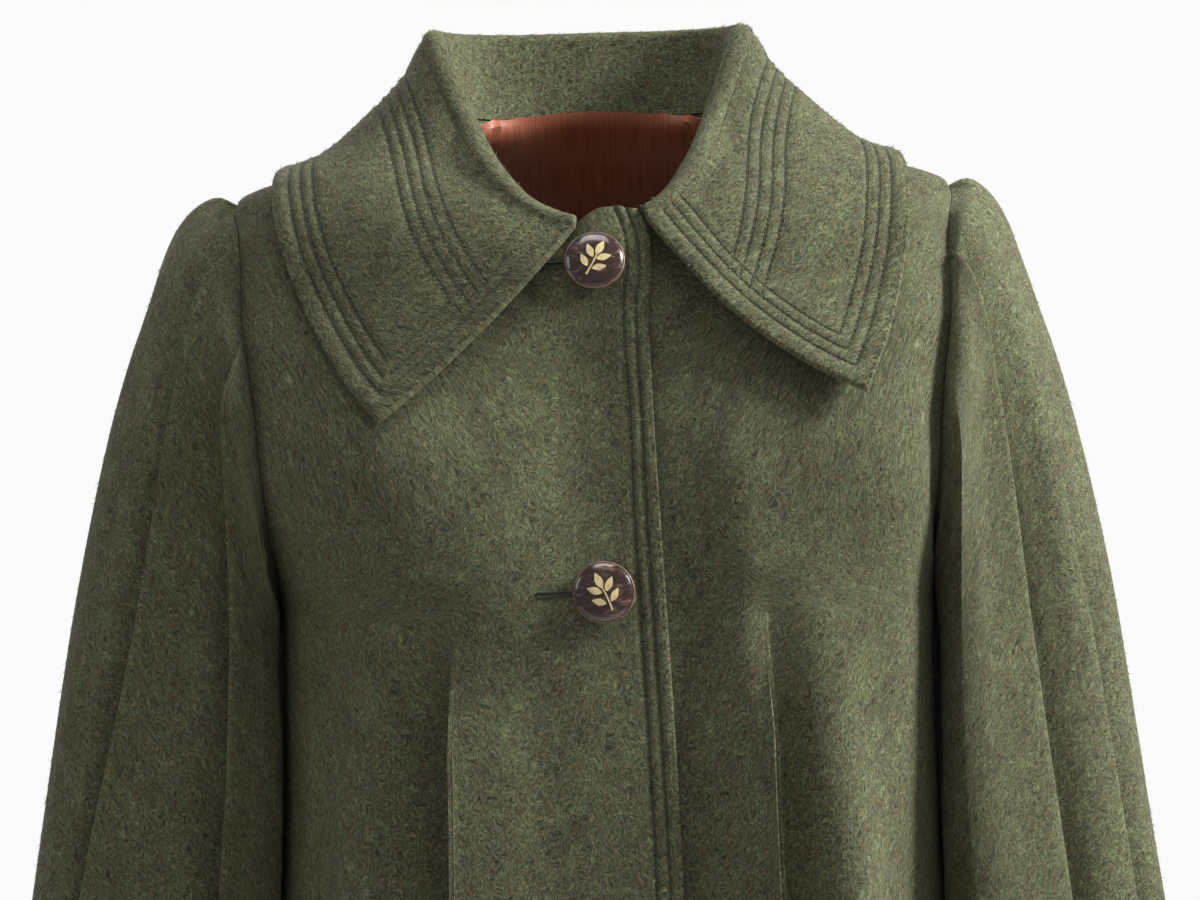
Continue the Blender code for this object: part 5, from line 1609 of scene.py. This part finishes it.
class COAT_OT_buttons(bpy.types.Operator):
    """Five domed buttons, each with a plain leaf sprig let into it"""

    bl_idname = "coat.buttons"
    bl_label = "Buttons"

    def execute(self, context):
        panel = cut()["right"]
        tree = surface_tree((panel, False))
        for number, z in enumerate(BUTTON_HEIGHTS, 1):
            y, reach = self.surface(tree, z), 8 * MM
            out = Vector((0, -1, (self.surface(tree, z + reach) - y) / reach)).normalized()
            facing = out.to_track_quat("Z", "Y").to_matrix().to_4x4()
            place = Matrix.Translation(Vector((0, y, z)) + out * BUTTON_GAP) @ facing
            spin = Matrix.Rotation(math.radians(BUTTON_TURNS[number - 1]), 4, "Z")
            disc = self.disc(f"button_{number}_horn", context.scene.coat_sizes.button / 15)
            sprig = self.sprig(f"button_{number}_sprig", disc, context.scene.coat_sizes.button / 15)
            for piece in (disc, sprig):
                piece.data.transform(place @ spin)
            belongs(disc, "button", f"button_{number}")
            belongs(sprig, "button")
        return {"FINISHED"}

    def surface(self, tree, z):
        """How far forward the cloth is in the middle at a height."""
        hit, _, _, _ = tree.ray_cast(Vector((0, -0.4, z)), Vector((0, 1, 0)))
        return hit.y

    def pick(self, test):
        """Selects the faces that pass a test, in edit mode."""
        bpy.ops.mesh.select_all(action="DESELECT")
        bpy.ops.object.mode_set(mode="OBJECT")
        for face in bpy.context.object.data.polygons:
            face.select = bool(test(face))
        bpy.ops.object.mode_set(mode="EDIT")

    def disc(self, name, mm):
        """A turned button: a worn belt, a fine channel, a low dome and a shank behind."""
        bpy.ops.object.select_all(action="DESELECT")
        bpy.ops.mesh.primitive_cylinder_add(
            vertices=72, radius=15 * mm, depth=0.8 * mm, location=(0, 0, 3.4 * mm)
        )
        made = bpy.context.object
        made.name = made.data.name = name
        bpy.ops.object.transform_apply(location=True, rotation=True, scale=True)
        bpy.ops.object.mode_set(mode="EDIT")
        bpy.ops.mesh.select_mode(type="FACE")
        self.pick(lambda face: face.normal.z > 0.9)
        for inset, rise in (
            (0.3, 0.45), (0.35, 0.12), (0.2, -0.12), (0.25, 0.1), (0.6, 0.6), (1.5, 0.62), (2.6, 0.58),
            (3.0, 0.34), (3.0, 0.14), (2.0, 0.04),
        ):
            bpy.ops.mesh.inset(thickness=inset * mm, depth=rise * mm)
        self.pick(lambda face: face.normal.z < -0.9)
        for inset, rise in ((0.7, 0.5), (9.9, 0.35), (0.4, 0.0)):
            bpy.ops.mesh.inset(thickness=inset * mm, depth=rise * mm)
        bpy.ops.mesh.extrude_region_move(TRANSFORM_OT_translate={"value": (0, 0, -1.9 * mm)})
        bpy.ops.object.mode_set(mode="OBJECT")
        soft = made.modifiers.new("Polished edges", "BEVEL")
        soft.width, soft.segments = 0.12 * mm, 2
        soft.limit_method, soft.angle_limit = "ANGLE", math.radians(28)
        bpy.ops.object.modifier_apply(modifier=soft.name)
        made.data.materials.append(horn())
        made.data.materials.append(horn_rim())
        for face in made.data.polygons:
            if math.hypot(face.center.x, face.center.y) > BELT_RADIUS * mm and face.center.z > BELT_BACK * mm:
                face.material_index = 1
        bpy.ops.object.shade_smooth_by_angle(angle=math.radians(40))
        return made

    def sprig(self, name, disc, mm):
        """A stem and five leaves, drawn flat, laid on the dome and given a thickness."""
        parts = []
        for x, y, turn, length, width in (
            (0.0, 5.6, 90, 7.6, 3.9), (-3.6, 2.2, 138, 7.0, 3.6), (3.6, 2.2, 42, 7.0, 3.6),
            (-3.9, -3.6, 142, 6.6, 3.4), (3.9, -3.6, 38, 6.6, 3.4),
        ):
            bpy.ops.object.select_all(action="DESELECT")
            bpy.ops.mesh.primitive_circle_add(
                vertices=20, radius=0.5 * mm, fill_type="NGON", location=(0, 0, 9 * mm)
            )
            leaf = bpy.context.object
            bpy.ops.object.mode_set(mode="EDIT")
            bpy.ops.mesh.select_all(action="SELECT")
            bpy.ops.transform.resize(value=(length, width, 1))
            bpy.ops.object.mode_set(mode="OBJECT")
            # The leaf comes to a point at its tip and narrows to its stalk.
            for corner in leaf.data.vertices:
                share = corner.co.x / (length * mm / 2)
                corner.co.y *= 1 - 0.55 * abs(share) ** 2.2
                corner.co.x += 0.10 * length * mm * max(share, 0) ** 4
            bpy.ops.object.mode_set(mode="EDIT")
            bpy.ops.mesh.select_all(action="SELECT")
            bpy.ops.mesh.poke()
            bpy.ops.mesh.subdivide(number_cuts=1)
            bpy.ops.object.mode_set(mode="OBJECT")
            spin = Matrix.Rotation(math.radians(turn), 4, "Z")
            leaf.data.transform(Matrix.Translation((x * mm, y * mm, 0)) @ spin)
            parts.append(leaf)
        bpy.ops.object.select_all(action="DESELECT")
        bpy.ops.mesh.primitive_grid_add(x_subdivisions=1, y_subdivisions=14, size=1, location=(0, 0, 9 * mm))
        stem = bpy.context.object
        for corner in stem.data.vertices:
            share = corner.co.y + 0.5
            x = corner.co.x * (1.0 - 0.4 * share) + 0.35 * math.sin(share * 3)
            corner.co = (x * mm, (-9.6 + 12.6 * share) * mm, 0)
        for part in parts:
            part.select_set(True)
        bpy.ops.object.join()
        made = bpy.context.object
        made.name = made.data.name = name
        bpy.ops.object.transform_apply(location=True, rotation=True, scale=True)
        lay = made.modifiers.new("On the dome", "SHRINKWRAP")
        lay.target, lay.wrap_method, lay.offset = disc, "PROJECT", 0.03 * mm
        lay.use_project_z, lay.use_negative_direction, lay.use_positive_direction = True, True, False
        bpy.ops.object.modifier_apply(modifier=lay.name)
        thick = made.modifiers.new("Inlay", "SOLIDIFY")
        thick.thickness, thick.offset = 0.22 * mm, 0.4
        bpy.ops.object.modifier_apply(modifier=thick.name)
        made.data.materials.clear()
        made.data.materials.append(cream_inlay())
        bpy.ops.object.shade_smooth_by_angle(angle=math.radians(40))
        return made


class COAT_OT_stage(bpy.types.Operator):
    """A pale floor, soft studio light and the camera"""

    bl_idname = "coat.stage"
    bl_label = "Stage"

    def execute(self, context):
        scene = context.scene
        bpy.ops.object.select_all(action="DESELECT")
        bpy.ops.mesh.primitive_circle_add(vertices=96, radius=4.0, fill_type="NGON", location=(0, 0, FLOOR_Z))
        floor = context.object
        floor.name = "studio_floor"
        bpy.ops.object.mode_set(mode="EDIT")
        bpy.ops.mesh.select_all(action="SELECT")
        bpy.ops.mesh.inset(thickness=0.3, depth=0)
        bpy.ops.object.mode_set(mode="OBJECT")
        floor.data.materials.append(studio_floor())

        world = bpy.data.worlds.new("Studio")
        scene.world = world
        world.use_nodes = True
        tree = world.node_tree
        tree.nodes.clear()
        seen = add(tree, "ShaderNodeLightPath").outputs["Is Camera Ray"]
        glow = add(tree, "ShaderNodeBackground", {"Color": (1.0, 0.97, 1.06, 1), "Strength": 0.25})
        plain = add(tree, "ShaderNodeBackground", {"Color": opaque(linear("#fbfbfb")), "Strength": 1.0})
        mixed = add(tree, "ShaderNodeMixShader", {0: seen, 1: glow.outputs[0], 2: plain.outputs[0]})
        add(tree, "ShaderNodeOutputWorld", {"Surface": mixed.outputs[0]})

        for name, place, aim, size, energy in (
            ("Key", (2.05, -0.29, 1.06), LAMP_AIM, 0.6, 119.0),
            ("Top", (0.0, -0.47, 2.18), LAMP_AIM, 1.4, 27.0),
            ("Side", (-2.04, -0.79, 0.83), LAMP_AIM, 0.9, 5.0),
            ("Back", (-1.2, 2.2, 1.3), (0, 0, -0.4), 1.4, 40.0),
        ):
            light = bpy.data.lights.new(name, "AREA")
            light.size, light.energy = size, energy
            lamp = bpy.data.objects.new(name, light)
            lamp.location = place
            lamp.rotation_euler = (Vector(aim) - Vector(place)).to_track_quat("-Z", "Y").to_euler()
            scene.collection.objects.link(lamp)

        lens = bpy.data.cameras.new("Camera")
        lens.lens, lens.sensor_width, lens.clip_start = 65, 36, 0.05
        camera = bpy.data.objects.new("Camera", lens)
        level = Vector((0, 1, 0)).to_track_quat("-Z", "Y").to_matrix().to_4x4()
        roll = Matrix.Rotation(math.radians(CAMERA_ROLL), 4, "Z")
        camera.matrix_world = Matrix.Translation(CAMERA_PLACE) @ level @ roll
        scene.collection.objects.link(camera)
        scene.camera = camera
        scene.view_settings.view_transform = "Standard"
        return {"FINISHED"}


class COAT_PT_panel(bpy.types.Panel):
    """Makes the coat's pieces in order"""

    bl_idname = "COAT_PT_panel"
    bl_label = "Loden coat"
    bl_space_type = "VIEW_3D"
    bl_region_type = "UI"
    bl_category = "Coat"

    def draw(self, context):
        for group in (context.scene.coat_sizes, context.scene.coat_colours):
            for name in group.__annotations__:
                self.layout.prop(group, name)
        for kind in OPERATORS:
            self.layout.operator(kind.bl_idname)


OPERATORS = (
    COAT_OT_fronts, COAT_OT_back, COAT_OT_sleeves, COAT_OT_collar, COAT_OT_lining, COAT_OT_buttons,
    COAT_OT_stage,
)
CLASSES = (CoatSizes, CoatColours, *OPERATORS, COAT_PT_panel)


def register():
    for kind in CLASSES:
        bpy.utils.register_class(kind)
    bpy.types.Scene.coat_sizes = bpy.props.PointerProperty(type=CoatSizes)
    bpy.types.Scene.coat_colours = bpy.props.PointerProperty(type=CoatColours)


def unregister():
    del bpy.types.Scene.coat_colours
    del bpy.types.Scene.coat_sizes
    for kind in reversed(CLASSES):
        bpy.utils.unregister_class(kind)


def main():
    register()
    for kind in OPERATORS:
        space, name = kind.bl_idname.split(".")
        getattr(getattr(bpy.ops, space), name)()


if __name__ == "__main__":
    main()
